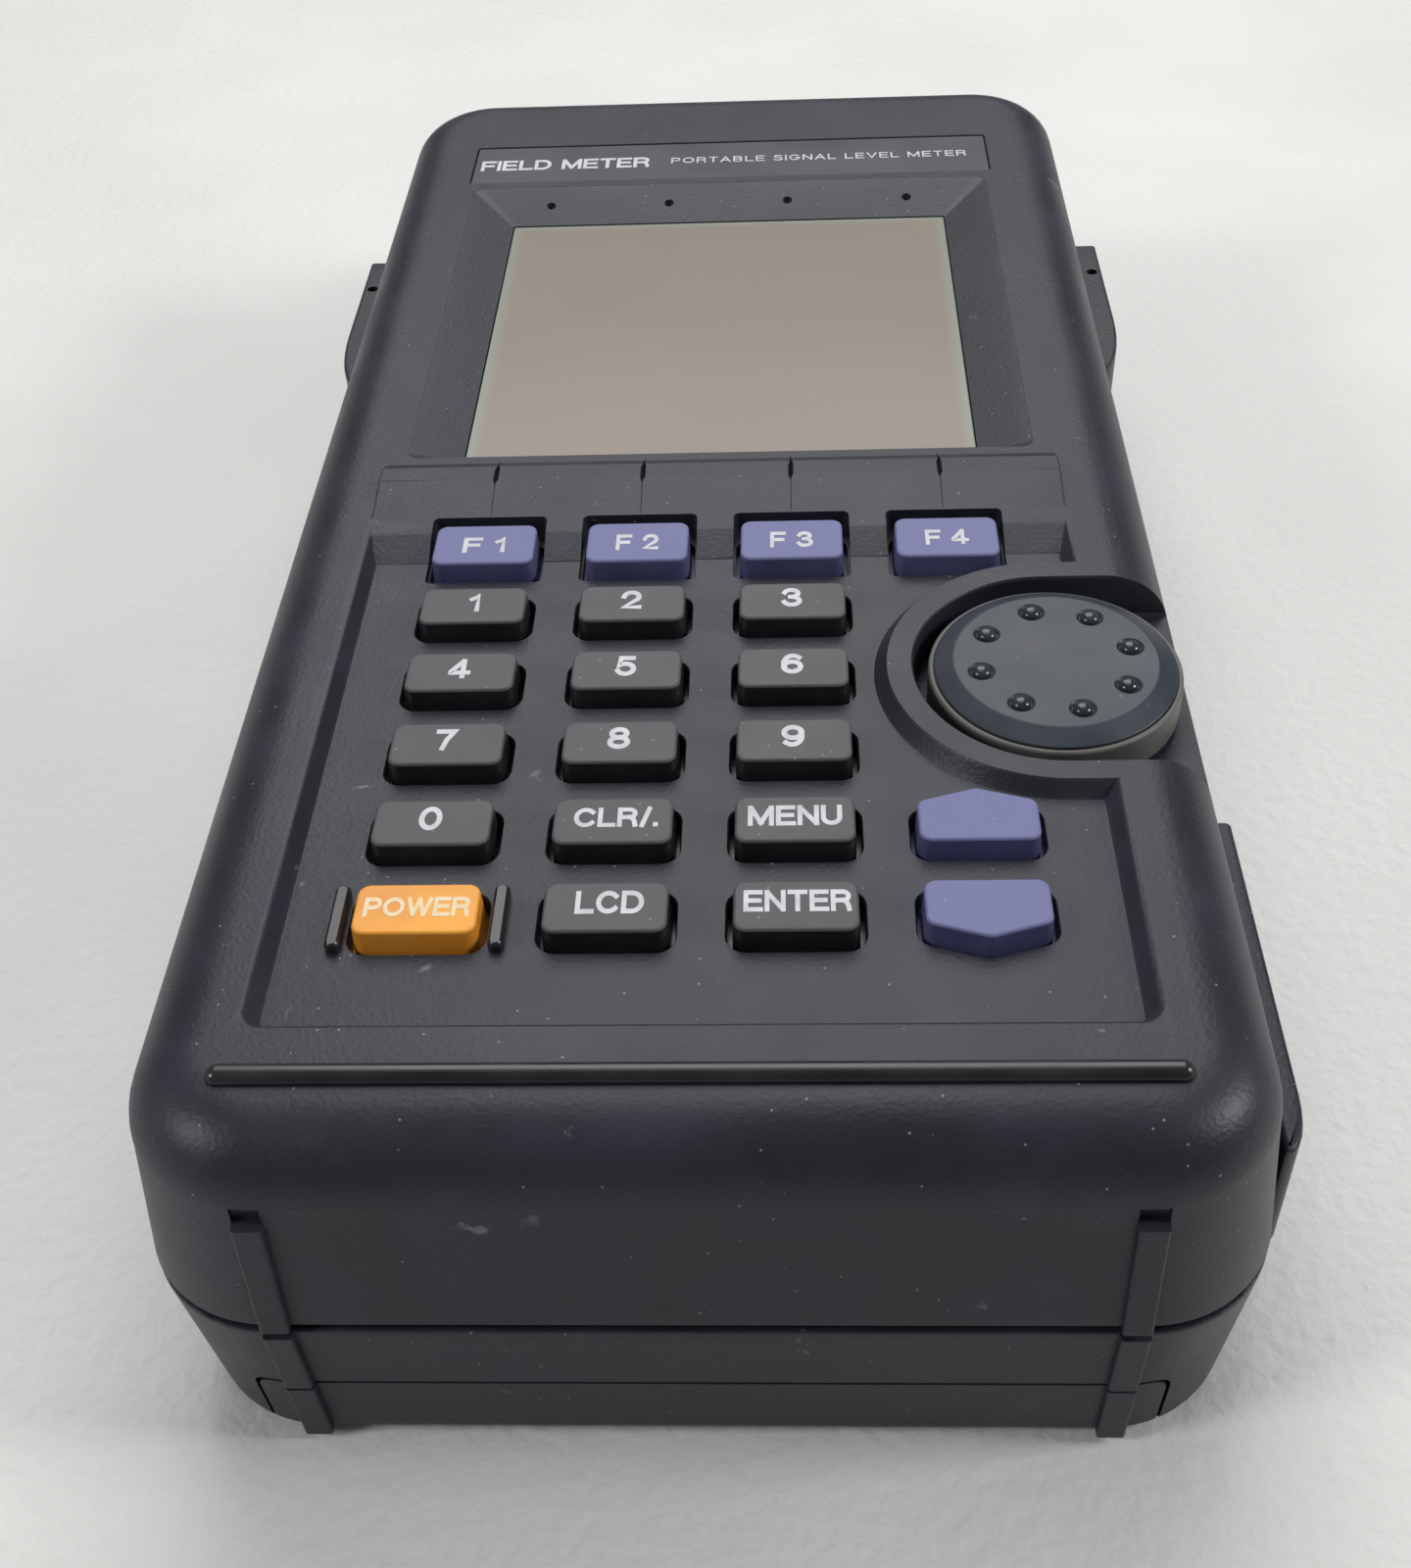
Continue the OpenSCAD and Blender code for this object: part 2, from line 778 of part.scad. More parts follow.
module dial_cap() {
  color(charcoal)
    translate([dial_x, dial_y, 0]) {
      rotate_extrude($fn = 96)
        polygon([
          [0, dial_hub_z],
          [dial_r - dial_ring_t, dial_hub_z],
          [dial_r - dial_ring_t, dial_ring_z],
          [dial_r - 0.6, dial_ring_z],
          [dial_r - 0.6, dial_ring_z + 0.3],
          [dial_flat_r, case_h + dial_rise],
          [0, case_h + dial_rise]
        ]);
      for (i = [0:bump_count - 1])
        rotate([0, 0, 103 + 360 / bump_count * i])
          translate([bump_ring_r, 0, case_h + dial_rise - 0.45]) sphere(r = 1.1, $fn = 24);
    }
}

module dial_ring() {
  color("#6b6a66")
    translate([dial_x, dial_y, dial_ring_z - dial_ring_l])
      difference() {
        cylinder(r = dial_r, h = dial_ring_l, $fn = 96);
        translate([0, 0, -cut])
          cylinder(r = dial_r - dial_ring_t, h = dial_ring_l + 2 * cut, $fn = 96);
      }
}

module dial_encoder() {
  body_z = pocket_z - pocket_floor_t - encoder_l;
  color(metal)
    difference() {
      union() {
        translate([dial_x - encoder_half, dial_y - encoder_half, body_z])
          cube([2 * encoder_half, 2 * encoder_half, encoder_l]);
        translate([dial_x, dial_y, body_z])
          cylinder(r = bush_r, h = encoder_l + pocket_floor_t + 1.6);
      }
      translate([dial_x, dial_y, body_z - 3])
        cylinder(r = encoder_r + running, h = encoder_l + pocket_floor_t + 9);
    }
}

// ---- display ----------------------------------------------------------------

module display_window() {
  mid_y = (window_near_y + window_far_y) / 2;
  color([0.6, 0.57, 0.52])
    union() {
      translate([-window_w / 2 + 0.1, window_near_y + 0.1, ceiling_z - 0.1])
        cube([window_w - 0.2, window_l - 0.2, lens_z + lens_t - ceiling_z + 0.1]);
      translate([0, mid_y, ceiling_z - lens_t / 2])
        cube([window_w + 4, window_l + 4, lens_t], center = true);
    }
}

module lcd_module() {
  color("#8d8f82")
    block(
      [-window_w / 2 - 2, window_near_y - 2, lens_lip_z - lcd_t],
      [window_w / 2 + 2, window_far_y + 2, lens_lip_z]
    );
}

module lcd_frame() {
  color(metal)
    difference() {
      union() {
        block(
          [-window_w / 2 - 3.2, window_near_y - 3.2, lens_lip_z - lcd_t - 1],
          [window_w / 2 + 3.2, window_far_y + 3.2, lens_lip_z - 1]
        );
        for (x = [-window_w / 2, window_w / 2], y = [window_near_y, window_far_y])
          block([x - 1.5, y - 1.5, main_board_z + board_t], [x + 1.5, y + 1.5, lens_lip_z - lcd_t]);
      }
      block(
        [-window_w / 2 - 2, window_near_y - 2, lens_lip_z - lcd_t],
        [window_w / 2 + 2, window_far_y + 2, lens_lip_z + 1]
      );
    }
}

module name_strip() {
  color("#2e3034")
    block(
      [-strip_half + 0.15, strip_near_y + 0.15, case_h - strip_depth],
      [strip_half - 0.15, strip_near_y + strip_l - 0.15, case_h - 0.15]
    );
}

// ---- keys, mat and boards ---------------------------------------------------

module key(k) {
  color(k[4])
    at_key(k)
      union() {
        translate([0, 0, flange_z - 0.5])
          linear_extrude(key_top_z - flange_z + 0.5) key_outline(k[3], 0);
        translate([0, 0, flange_z - 0.5])
          linear_extrude(floor_z + 0.2 - flange_z + 0.5) key_outline(k[3], 0.3);
        translate([0, 0, flange_z - flange_t])
          linear_extrude(flange_t) key_outline(k[3], key_gap + flange_w);
        translate([0, 0, plunger_z]) cylinder(d = plunger_d, h = plunger_l + 1);
      }
}

module keypad_mat() {
  color("#2a2b2e")
    difference() {
      union() {
        block(
          [-recess_half + 4, recess_near_y + 4, mat_z],
          [recess_half - 4, kink_y - 1, mat_z + mat_t]
        );
        for (k = KEYS)
          at_key(k) translate([0, 0, mat_z]) cylinder(d = plunger_d + 2.2, h = mat_t + 1.1);
      }
      for (k = KEYS)
        at_key(k) translate([0, 0, mat_z + mat_t]) cylinder(d = plunger_d + 0.9, h = 5);
      translate([dial_x, dial_y, mat_z - cut]) cylinder(r = pocket_r + 2.4, h = 9);
      board_posts() translate([0, 0, mat_z - cut]) cylinder(r = 3, h = 9);
    }
}

module keypad_board() {
  color(board_green)
    difference() {
      block(
        [-recess_half - 2, recess_near_y + 2, key_board_z],
        [recess_half + 2, kink_y + 1, key_board_z + board_t]
      );
      translate([dial_x, dial_y, key_board_z - cut]) cylinder(r = 10, h = 9);
      block(
        [dial_x, dial_y - 10, key_board_z - cut],
        [side_x, dial_y + 10, key_board_z + 9]
      );
      board_posts() translate([0, 0, key_board_z - cut]) cylinder(r = 1.1, h = 9);
      screw_places() translate([0, 0, key_board_z - cut]) cylinder(r = boss_r + 0.4, h = 9);
    }
}

module main_board() {
  color(board_green)
    difference() {
      block(
        [-side_x + 6.5, main_near_y, main_board_z],
        [side_x - 6.5, main_far_y, main_board_z + board_t]
      );
      screw_places() translate([0, 0, main_board_z - cut]) cylinder(r = boss_r + 0.4, h = 9);
    }
}

module tuner_module() {
  color(metal)
    difference() {
      block([-module_half, module_near_y, module_z], [module_half, module_far_y, main_board_z]);
      block(
        [-module_half + lid_t, module_near_y + lid_t, module_z - cut],
        [module_half - lid_t, module_far_y - lid_t, main_board_z - lid_t]
      );
    }
}

module tuner_lid() {
  color(metal)
    block(
      [-module_half, module_near_y, module_z - lid_t],
      [module_half, module_far_y, module_z]
    );
}

module speaker() {
  color("#26272a")
    translate([speaker_x, speaker_y, wall]) {
      cylinder(r = speaker_r, h = 3);
      translate([0, 0, 3]) cylinder(r = speaker_r / 2, h = 3.5);
    }
}

// ---- battery ----------------------------------------------------------------

module battery_cells() {
  color("#3f6b8f")
    for (i = [0:cell_count - 1])
      translate([
        (i - (cell_count - 1) / 2) * cell_d,
        bay_near_y + contact_space + (i % 2) * cell_l,
        cell_z
      ])
        rotate([i % 2 == 0 ? -90 : 90, 0, 0]) {
          cylinder(d = cell_d - 0.3, h = cell_l - 1.2);
          translate([0, 0, cell_l - 1.2]) cylinder(r = 2.7, h = 1.2);
        }
}

module battery_contacts() {
  color(brass_tone)
    for (i = [0:cell_count - 1], e = [0, 1])
      translate([(i - (cell_count - 1) / 2) * cell_d, e == 0 ? bay_near_y : bay_far_y, cell_z])
        rotate([e == 0 ? -90 : 90, 0, 0])
          cylinder(r1 = 4.5, r2 = 3, h = contact_space);
}

// ---- sockets and fasteners --------------------------------------------------

module aerial_socket() {
  color(metal)
    translate([aerial_x, 0, socket_z])
      rotate([-90, 0, 0])
        difference() {
          union() {
            translate([0, 0, socket_wall_y]) cylinder(r = aerial_r + 1.2, h = 1.6);
            translate([0, 0, socket_wall_y]) cylinder(r = aerial_r, h = 1.6 + aerial_l);
            translate([0, 0, far_y - 9]) cylinder(r = aerial_r - 0.9, h = 9);
          }
          translate([0, 0, socket_wall_y + 1.6]) difference() {
            cylinder(r = aerial_r - 1.4, h = aerial_l + cut);
            cylinder(r = 2.4, h = aerial_l - 2);
          }
          translate([0, 0, socket_wall_y + 3]) cylinder(r = 0.75, h = aerial_l);
        }
}

module aerial_nut() {
  color(metal)
    translate([aerial_x, socket_wall_y - socket_boss_l - nut_t, socket_z])
      rotate([-90, 0, 0])
        difference() {
          cylinder(r = aerial_r + 1.6, h = nut_t, $fn = 6);
          translate([0, 0, -cut]) cylinder(r = aerial_r - 0.9 + running, h = nut_t + 2 * cut);
        }
}

// Moulded body on the main board with a round snout through the end wall
module panel_socket(x, bore_r, half) {
  difference() {
    union() {
      block(
        [x - half, far_y - 18, main_board_z + board_t],
        [x + half, far_y - 5.6, socket_z + half]
      );
      translate([x, far_y - 6, socket_z])
        rotate([-90, 0, 0]) cylinder(r = bore_r + 1.2, h = 5.4);
    }
    translate([x, far_y - 15, socket_z])
      rotate([-90, 0, 0]) cylinder(r = bore_r, h = 20);
  }
}

module earphone_socket() {
  color(soft_black) panel_socket(phone_x, phone_r, phone_r + 1.9);
}

module charger_socket() {
  color(soft_black) panel_socket(charger_x, charger_r, charger_r + 1.9);
  color(metal)
    translate([charger_x, far_y - 15.5, socket_z])
      rotate([-90, 0, 0]) cylinder(r = 1, h = 12);
}

module serial_socket() {
  color(metal) {
    difference() {
      block(
        [side_x - 11, port_y - port_w / 2, port_z - port_h / 2],
        [side_x - 0.3, port_y + port_w / 2, port_z + port_h / 2]
      );
      for (row = [0, 1], i = [0:4 - row])
        translate([
          side_x - 6,
          port_y + (i - 2 + row / 2) * 2.77,
          port_z + 1.42 - 2.84 * row
        ])
          rotate([0, 90, 0]) cylinder(r = 0.55, h = 9);
    }
    difference() {
      block(
        [side_x - 5.5, port_y - 15.4, shelf_z],
        [side_x - 4.7, port_y + 15.4, port_z + 5.8]
      );
      block(
        [side_x - 6, port_y - port_w / 2, port_z - port_h / 2],
        [side_x - 4, port_y + port_w / 2, port_z + port_h / 2]
      );
    }
  }
}

module case_screws() {
  color(metal)
    screw_places() {
      translate([0, 0, 1]) cylinder(r = screw_head_r, h = 2);
      translate([0, 0, 2.5]) cylinder(r = screw_r, h = upper_z + 5);
    }
}

module board_screws() {
  color(metal)
    board_posts() {
      translate([0, 0, key_board_z - 1.2]) cylinder(r = 1.9, h = 1.2);
      translate([0, 0, key_board_z - 1]) cylinder(r = 1, h = board_t + 4);
    }
}

// ---- nodes ------------------------------------------------------------------

top_case();
bottom_case();
case_seal();
battery_door();
side_cover();
side_cover_pin();
dial_hub();
dial_cap();
dial_ring();
dial_encoder();
display_window();
lcd_module();
lcd_frame();
name_strip();
keypad_mat();
keypad_board();
main_board();
tuner_module();
tuner_lid();
speaker();
battery_cells();
battery_contacts();
aerial_socket();
aerial_nut();
earphone_socket();
charger_socket();
serial_socket();
case_screws();
board_screws();
for (k = KEYS)
  key(k);
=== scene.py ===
"""Looks of a hand-held field-strength meter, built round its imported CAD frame.

Lengths are millimetres in the frame of the CAD model, and become metres when a mesh is made.
"""

from __future__ import annotations

import json
import logging
import math
from collections.abc import Iterable, Sequence
from dataclasses import dataclass, field, replace
from enum import Enum

import bmesh
import bpy
import numpy as np
from mathutils import Matrix, Vector

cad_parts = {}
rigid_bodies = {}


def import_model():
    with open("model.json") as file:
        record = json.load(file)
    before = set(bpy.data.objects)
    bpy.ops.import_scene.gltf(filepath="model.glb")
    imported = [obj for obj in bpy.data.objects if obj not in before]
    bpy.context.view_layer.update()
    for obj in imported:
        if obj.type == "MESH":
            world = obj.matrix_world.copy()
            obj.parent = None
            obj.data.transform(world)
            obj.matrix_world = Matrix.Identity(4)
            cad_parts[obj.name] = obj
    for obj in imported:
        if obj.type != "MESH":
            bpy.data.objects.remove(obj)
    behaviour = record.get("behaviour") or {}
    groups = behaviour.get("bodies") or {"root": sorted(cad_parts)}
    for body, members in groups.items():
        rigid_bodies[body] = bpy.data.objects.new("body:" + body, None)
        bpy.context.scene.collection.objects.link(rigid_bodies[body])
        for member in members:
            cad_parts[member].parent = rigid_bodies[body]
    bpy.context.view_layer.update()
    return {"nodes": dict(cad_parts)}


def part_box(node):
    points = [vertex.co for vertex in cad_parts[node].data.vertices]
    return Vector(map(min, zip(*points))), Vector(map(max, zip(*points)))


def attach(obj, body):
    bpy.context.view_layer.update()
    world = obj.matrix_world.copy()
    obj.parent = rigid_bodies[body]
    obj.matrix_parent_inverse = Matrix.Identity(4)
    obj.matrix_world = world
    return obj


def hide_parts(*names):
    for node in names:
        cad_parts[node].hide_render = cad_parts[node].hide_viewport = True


log = logging.getLogger("meter")
MM = 0.001


# ---- surfaces ---------------------------------------------------------------


@dataclass(frozen=True)
class Outline:
    """A closed outline of straight sides joined by round corners, counter-clockwise."""

    corners: tuple[tuple[float, float], ...]
    radii: tuple[float, ...]
    steps: int = 6

    @staticmethod
    def rect(
        low: tuple[float, float], high: tuple[float, float], radius: float, steps: int = 6
    ) -> Outline:
        """A rectangle between two points, all four corners rounded alike."""
        (x0, y0), (x1, y1) = low, high
        return Outline(((x0, y0), (x1, y0), (x1, y1), (x0, y1)), (radius,) * 4, steps)

    def at(self, grow: float = 0.0, turn: float | None = None) -> np.ndarray:
        """Points of the outline moved outwards.

        Each side moves by grow along its outward normal, and each corner is an arc whose
        radius changes by turn, or by grow where turn is left out.

        Args:
            grow: Distance that every side moves outwards, in mm.
            turn: Change of the corner radii, in mm.

        Returns:
            Points, one row each, in order round the outline.
        """
        corner = np.asarray(self.corners, float)
        arrive = corner - np.roll(corner, 1, 0)
        arrive /= np.linalg.norm(arrive, axis=1, keepdims=True)
        leave = np.roll(arrive, -1, 0)
        normal = np.stack([arrive[:, 1], -arrive[:, 0]], 1)
        after = np.stack([leave[:, 1], -leave[:, 0]], 1)
        dot = (arrive * leave).sum(1)
        bend = np.arctan2(arrive[:, 0] * leave[:, 1] - arrive[:, 1] * leave[:, 0], dot)
        moved = corner + grow * (normal + after) / (1 + dot)[:, None]
        side = np.sign(bend)
        change = grow if turn is None else turn
        radius = side * np.maximum(np.asarray(self.radii) + side * change, 0.02)
        reach = np.abs(radius) * np.tan(np.abs(bend) / 2)
        centre = moved - arrive * reach[:, None] - normal * radius[:, None]
        angle = bend[:, None] * np.linspace(0, 1, self.steps + 1)
        cos, sin = np.cos(angle), np.sin(angle)
        spoke = np.stack(
            [
                normal[:, :1] * cos - normal[:, 1:] * sin,
                normal[:, :1] * sin + normal[:, 1:] * cos,
            ],
            -1,
        )
        return (centre[:, None] + radius[:, None, None] * spoke).reshape(-1, 2)


class Plane(Enum):
    """Where an outline's two axes and its sweep axis lie, as axis numbers."""

    XY = (0, 1, 2)
    YZ = (1, 2, 0)
    ZX = (2, 0, 1)


@dataclass
class Solid:
    """A closed surface in mm: points, and faces as tuples of point numbers."""

    points: np.ndarray
    faces: list[tuple[int, ...]]

    def joined(self, *others: Solid) -> Solid:
        """This solid and others that it doesn't touch, as one.

        Args:
            *others: The other solids, whose point numbers follow this one's.

        Returns:
            The joined solid.
        """
        points, faces = [self.points], list(self.faces)
        count = len(self.points)
        for other in others:
            points.append(other.points)
            faces += [tuple(i + count for i in face) for face in other.faces]
            count += len(other.points)
        return Solid(np.concatenate(points), faces)

    def mirrored(self) -> Solid:
        """The solid's image across x = 0, with its faces turned to point outwards."""
        return Solid(self.points * (-1, 1, 1), [face[::-1] for face in self.faces])

    def moved(self, x: float = 0, y: float = 0, z: float = 0) -> Solid:
        """A copy moved by x, y and z."""
        return Solid(self.points + (x, y, z), self.faces)

    def mesh(self, name: str) -> bpy.types.Mesh:
        """The solid as a mesh in metres.

        Args:
            name: The mesh's name.

        Returns:
            The mesh, not yet on an object.
        """
        mesh = bpy.data.meshes.new(name)
        mesh.from_pydata((self.points * MM).tolist(), [], self.faces)
        mesh.update()
        return mesh


def together(solids: Sequence[Solid]) -> Solid:
    """Solids that don't touch each other, as one."""
    return solids[0].joined(*solids[1:])


def loft(rings: np.ndarray, looped: bool = False) -> Solid:
    """A closed skin over a stack of closed rings.

    Quads join point j of ring i to the same point of ring i + 1. A flat face closes each
    end, unless the last ring joins the first.

    Args:
        rings: Array of shape (rings, points, 3), each ring counter-clockwise seen from
            the last one.
        looped: Whether the last ring joins the first.

    Returns:
        The closed solid.
    """
    count, size = rings.shape[:2]
    index = np.arange(count * size).reshape(count, size)
    low, high = (index, np.roll(index, -1, 0)) if looped else (index[:-1], index[1:])
    sides = np.stack([low, np.roll(low, -1, 1), np.roll(high, -1, 1), high], -1)
    faces = [tuple(f) for f in sides.reshape(-1, 4).tolist()]
    if not looped:
        faces += [tuple(index[0, ::-1].tolist()), tuple(index[-1].tolist())]
    return Solid(rings.reshape(-1, 3), faces)


def swept(
    outline: Outline,
    profile: Iterable[tuple[float, ...]],
    plane: Plane = Plane.XY,
) -> Solid:
    """An outline carried along the axis across its plane, growing and shrinking as it goes.

    Args:
        outline: The outline in its plane.
        profile: Rows of (grow, height), or of (grow, turn, height).
        plane: The plane that the outline lies in.

    Returns:
        The closed solid.
    """
    rings = []
    for row in profile:
        flat = outline.at(row[0], row[1] if len(row) == 3 else None)
        ring = np.empty((len(flat), 3))
        ring[:, plane.value[0]] = flat[:, 0]
        ring[:, plane.value[1]] = flat[:, 1]
        ring[:, plane.value[2]] = row[-1]
        rings.append(ring)
    return loft(np.array(rings))


def turned(
    centre: tuple[float, float],
    profile: Sequence[tuple[float, float]],
    plane: Plane = Plane.XY,
    steps: int = 96,
    looped: bool = False,
) -> Solid:
    """A profile of (radius, height) turned about an axis across the plane at centre.

    A point is centre + radius * (cos a, sin a) at its height, for a from 0 to a full turn.

    Args:
        centre: Where the axis crosses the plane.
        profile: Rows of (radius, height).
        plane: The plane that the circles lie in.
        steps: Points round each circle.
        looped: Whether the profile closes on itself, as a ring's does.

    Returns:
        The closed solid.
    """
    angle = np.linspace(0, 2 * math.pi, steps, endpoint=False)
    table = np.asarray(profile, float)
    rings = np.empty((len(table), steps, 3))
    rings[..., plane.value[0]] = centre[0] + table[:, :1] * np.cos(angle)
    rings[..., plane.value[1]] = centre[1] + table[:, :1] * np.sin(angle)
    rings[..., plane.value[2]] = table[:, 1:]
    return loft(rings, looped)


def block(low: Sequence[float], high: Sequence[float]) -> Solid:
    """A rectangular solid: its base square is stretched between two corners and raised.

    Args:
        low: The corner with the least x, y and z.
        high: The corner with the most.

    Returns:
        The closed solid.
    """
    flat = np.array([[0, 0], [1, 0], [1, 1], [0, 1]], float)
    rings = np.empty((2, 4, 3))
    rings[..., :2] = np.asarray(low[:2]) + flat * (np.subtract(high[:2], low[:2]))
    rings[0, :, 2], rings[1, :, 2] = low[2], high[2]
    return loft(rings)


def quarter(radius: float, steps: int, start: float = 0.0) -> list[tuple[float, float]]:
    """Rows of (inwards, upwards) along a quarter round: r(1 - cos a) and r sin a."""
    angle = np.linspace(start, math.pi / 2, steps + 1)
    return list(zip(radius * (1 - np.cos(angle)), radius * np.sin(angle), strict=True))


class Work(Enum):
    """What a tool does to the solid before it."""

    JOIN = "UNION"
    CUT = "DIFFERENCE"
    KEEP = "INTERSECT"


def carved(name: str, base: Solid, steps: Sequence[tuple[Work, Solid]]) -> Solid:
    """Joins, cuts and keeps solids in order.

    Args:
        name: Name for the work in hand.
        base: The solid to start from.
        steps: What to do and with which solid, in order.

    Returns:
        The finished solid.
    """
    scene = bpy.context.scene.collection
    made = [bpy.data.objects.new(name, base.mesh(name))]
    scene.objects.link(made[0])
    for work, tool in steps:
        other = bpy.data.objects.new(name, tool.mesh(name))
        scene.objects.link(other)
        made.append(other)
        cut = made[0].modifiers.new(work.value, "BOOLEAN")
        cut.operation, cut.solver, cut.object = work.value, "MANIFOLD", other
    graph = bpy.context.evaluated_depsgraph_get()
    result = bpy.data.meshes.new_from_object(made[0].evaluated_get(graph))
    points = np.empty(len(result.vertices) * 3, np.float32)
    result.vertices.foreach_get("co", points)
    result.calc_loop_triangles()
    corners = np.empty(len(result.loop_triangles) * 3, np.int32)
    result.loop_triangles.foreach_get("vertices", corners)
    faces = [tuple(face) for face in corners.reshape(-1, 3).tolist()]
    for item in made:
        data = item.data
        bpy.data.objects.remove(item)
        bpy.data.meshes.remove(data)
    bpy.data.meshes.remove(result)
    if not faces:
        raise ValueError(f"{name}: nothing is left after carving")
    return Solid(points.reshape(-1, 3) / MM, faces)


# ---- finishes ---------------------------------------------------------------


def linear(colour: str) -> tuple[float, float, float, float]:
    """An sRGB hex colour as linear light.

    Each channel is c / 12.92 up to 0.04045, and ((c + 0.055) / 1.055) ^ 2.4 above it.

    Args:
        colour: The colour, such as "#25262e".

    Returns:
        Red, green, blue and alpha.
    """
    value = np.array([int(colour[i : i + 2], 16) for i in (1, 3, 5)]) / 255
    value = np.where(value <= 0.04045, value / 12.92, ((value + 0.055) / 1.055) ** 2.4)
    return (*value.tolist(), 1.0)


def node(
    tree: bpy.types.NodeTree,
    kind: str,
    inputs: dict[str | int, object] | None = None,
    **settings: object,
) -> bpy.types.Node:
    """Adds a node, sets its options, and fills or links its inputs.

    Args:
        tree: The material's node tree.
        kind: The node's type name, without its ShaderNode prefix.
        inputs: Input name or number to a value, or to an output socket to link.
        **settings: Options set on the node itself.

    Returns:
        The new node.
    """
    made = tree.nodes.new("ShaderNode" + kind)
    for key, value in settings.items():
        setattr(made, key, value)
    for key, value in (inputs or {}).items():
        if isinstance(value, bpy.types.NodeSocket):
            tree.links.new(value, made.inputs[key])
        else:
            made.inputs[key].default_value = value
    return made


def remap(
    tree: bpy.types.NodeTree,
    value: bpy.types.NodeSocket,
    source: tuple[float, float],
    target: tuple[float, float] = (0.0, 1.0),
    smooth: bool = False,
) -> bpy.types.NodeSocket:
    """Maps a value from one range to another, held at the target's ends.

    Args:
        tree: The material's node tree.
        value: What to map.
        source: The range that it comes from.
        target: The range that it goes to.
        smooth: Whether it eases in and out, and isn't a straight line.

    Returns:
        The mapped value.
    """
    inputs = {
        "Value": value,
        "From Min": source[0],
        "From Max": source[1],
        "To Min": target[0],
        "To Max": target[1],
    }
    kind = "SMOOTHSTEP" if smooth else "LINEAR"
    return node(tree, "MapRange", inputs, interpolation_type=kind).outputs["Result"]


def maths(tree: bpy.types.NodeTree, work: str, *values: object) -> bpy.types.NodeSocket:
    """One arithmetic step on sockets and numbers."""
    return node(tree, "Math", dict(enumerate(values)), operation=work).outputs[0]


def noise(
    tree: bpy.types.NodeTree,
    place: bpy.types.NodeSocket,
    size_mm: float,
    detail: float,
    distortion: float = 0.0,
) -> bpy.types.NodeSocket:
    """Cloudy noise.

    Args:
        tree: The material's node tree.
        place: Object coordinates.
        size_mm: Rough width of its features.
        detail: Octaves of finer noise laid over it.
        distortion: How far it is pulled out of shape.

    Returns:
        The noise, from 0 to 1.
    """
    inputs = {
        "Vector": place,
        "Scale": 1 / (size_mm * MM),
        "Detail": detail,
        "Distortion": distortion,
    }
    return node(tree, "TexNoise", inputs).outputs[0]


def mixed(
    tree: bpy.types.NodeTree, share: bpy.types.NodeSocket, low: object, high: object
) -> bpy.types.NodeSocket:
    """Blends two colours, each a socket or linear values.

    Args:
        tree: The material's node tree.
        share: Share of the second colour.
        low: The first colour.
        high: The second colour.

    Returns:
        The blend.
    """
    made = node(tree, "Mix", {0: share}, data_type="RGBA")
    ends = [socket for socket in made.inputs if socket.type == "RGBA"]
    for socket, value in zip(ends, (low, high), strict=True):
        if isinstance(value, bpy.types.NodeSocket):
            tree.links.new(value, socket)
        else:
            socket.default_value = value
    return next(socket for socket in made.outputs if socket.type == "RGBA")


@dataclass
class Paint:
    """A new material with its shader and the place on the object."""

    material: bpy.types.Material
    tree: bpy.types.NodeTree
    shader: bpy.types.Node
    place: bpy.types.NodeSocket

    @classmethod
    def named(cls, name: str) -> Paint:
        """Starts a material.

        Args:
            name: The material's name.

        Returns:
            The new material with what a finish needs of it.
        """
        material = bpy.data.materials.new(name)
        material.use_nodes = True
        tree = material.node_tree
        place = node(tree, "TexCoord").outputs["Object"]
        return cls(material, tree, tree.nodes["Principled BSDF"], place)

    def feed(self, **sockets: bpy.types.NodeSocket) -> None:
        """Links sockets to shader inputs, whose names have _ for a space."""
        for name, socket in sockets.items():
            self.tree.links.new(socket, self.shader.inputs[name.replace("_", " ")])

    def hold(self, **values: float) -> None:
        """Sets plain values on shader inputs, whose names have _ for a space."""
        for name, value in values.items():
            self.shader.inputs[name.replace("_", " ")].default_value = value


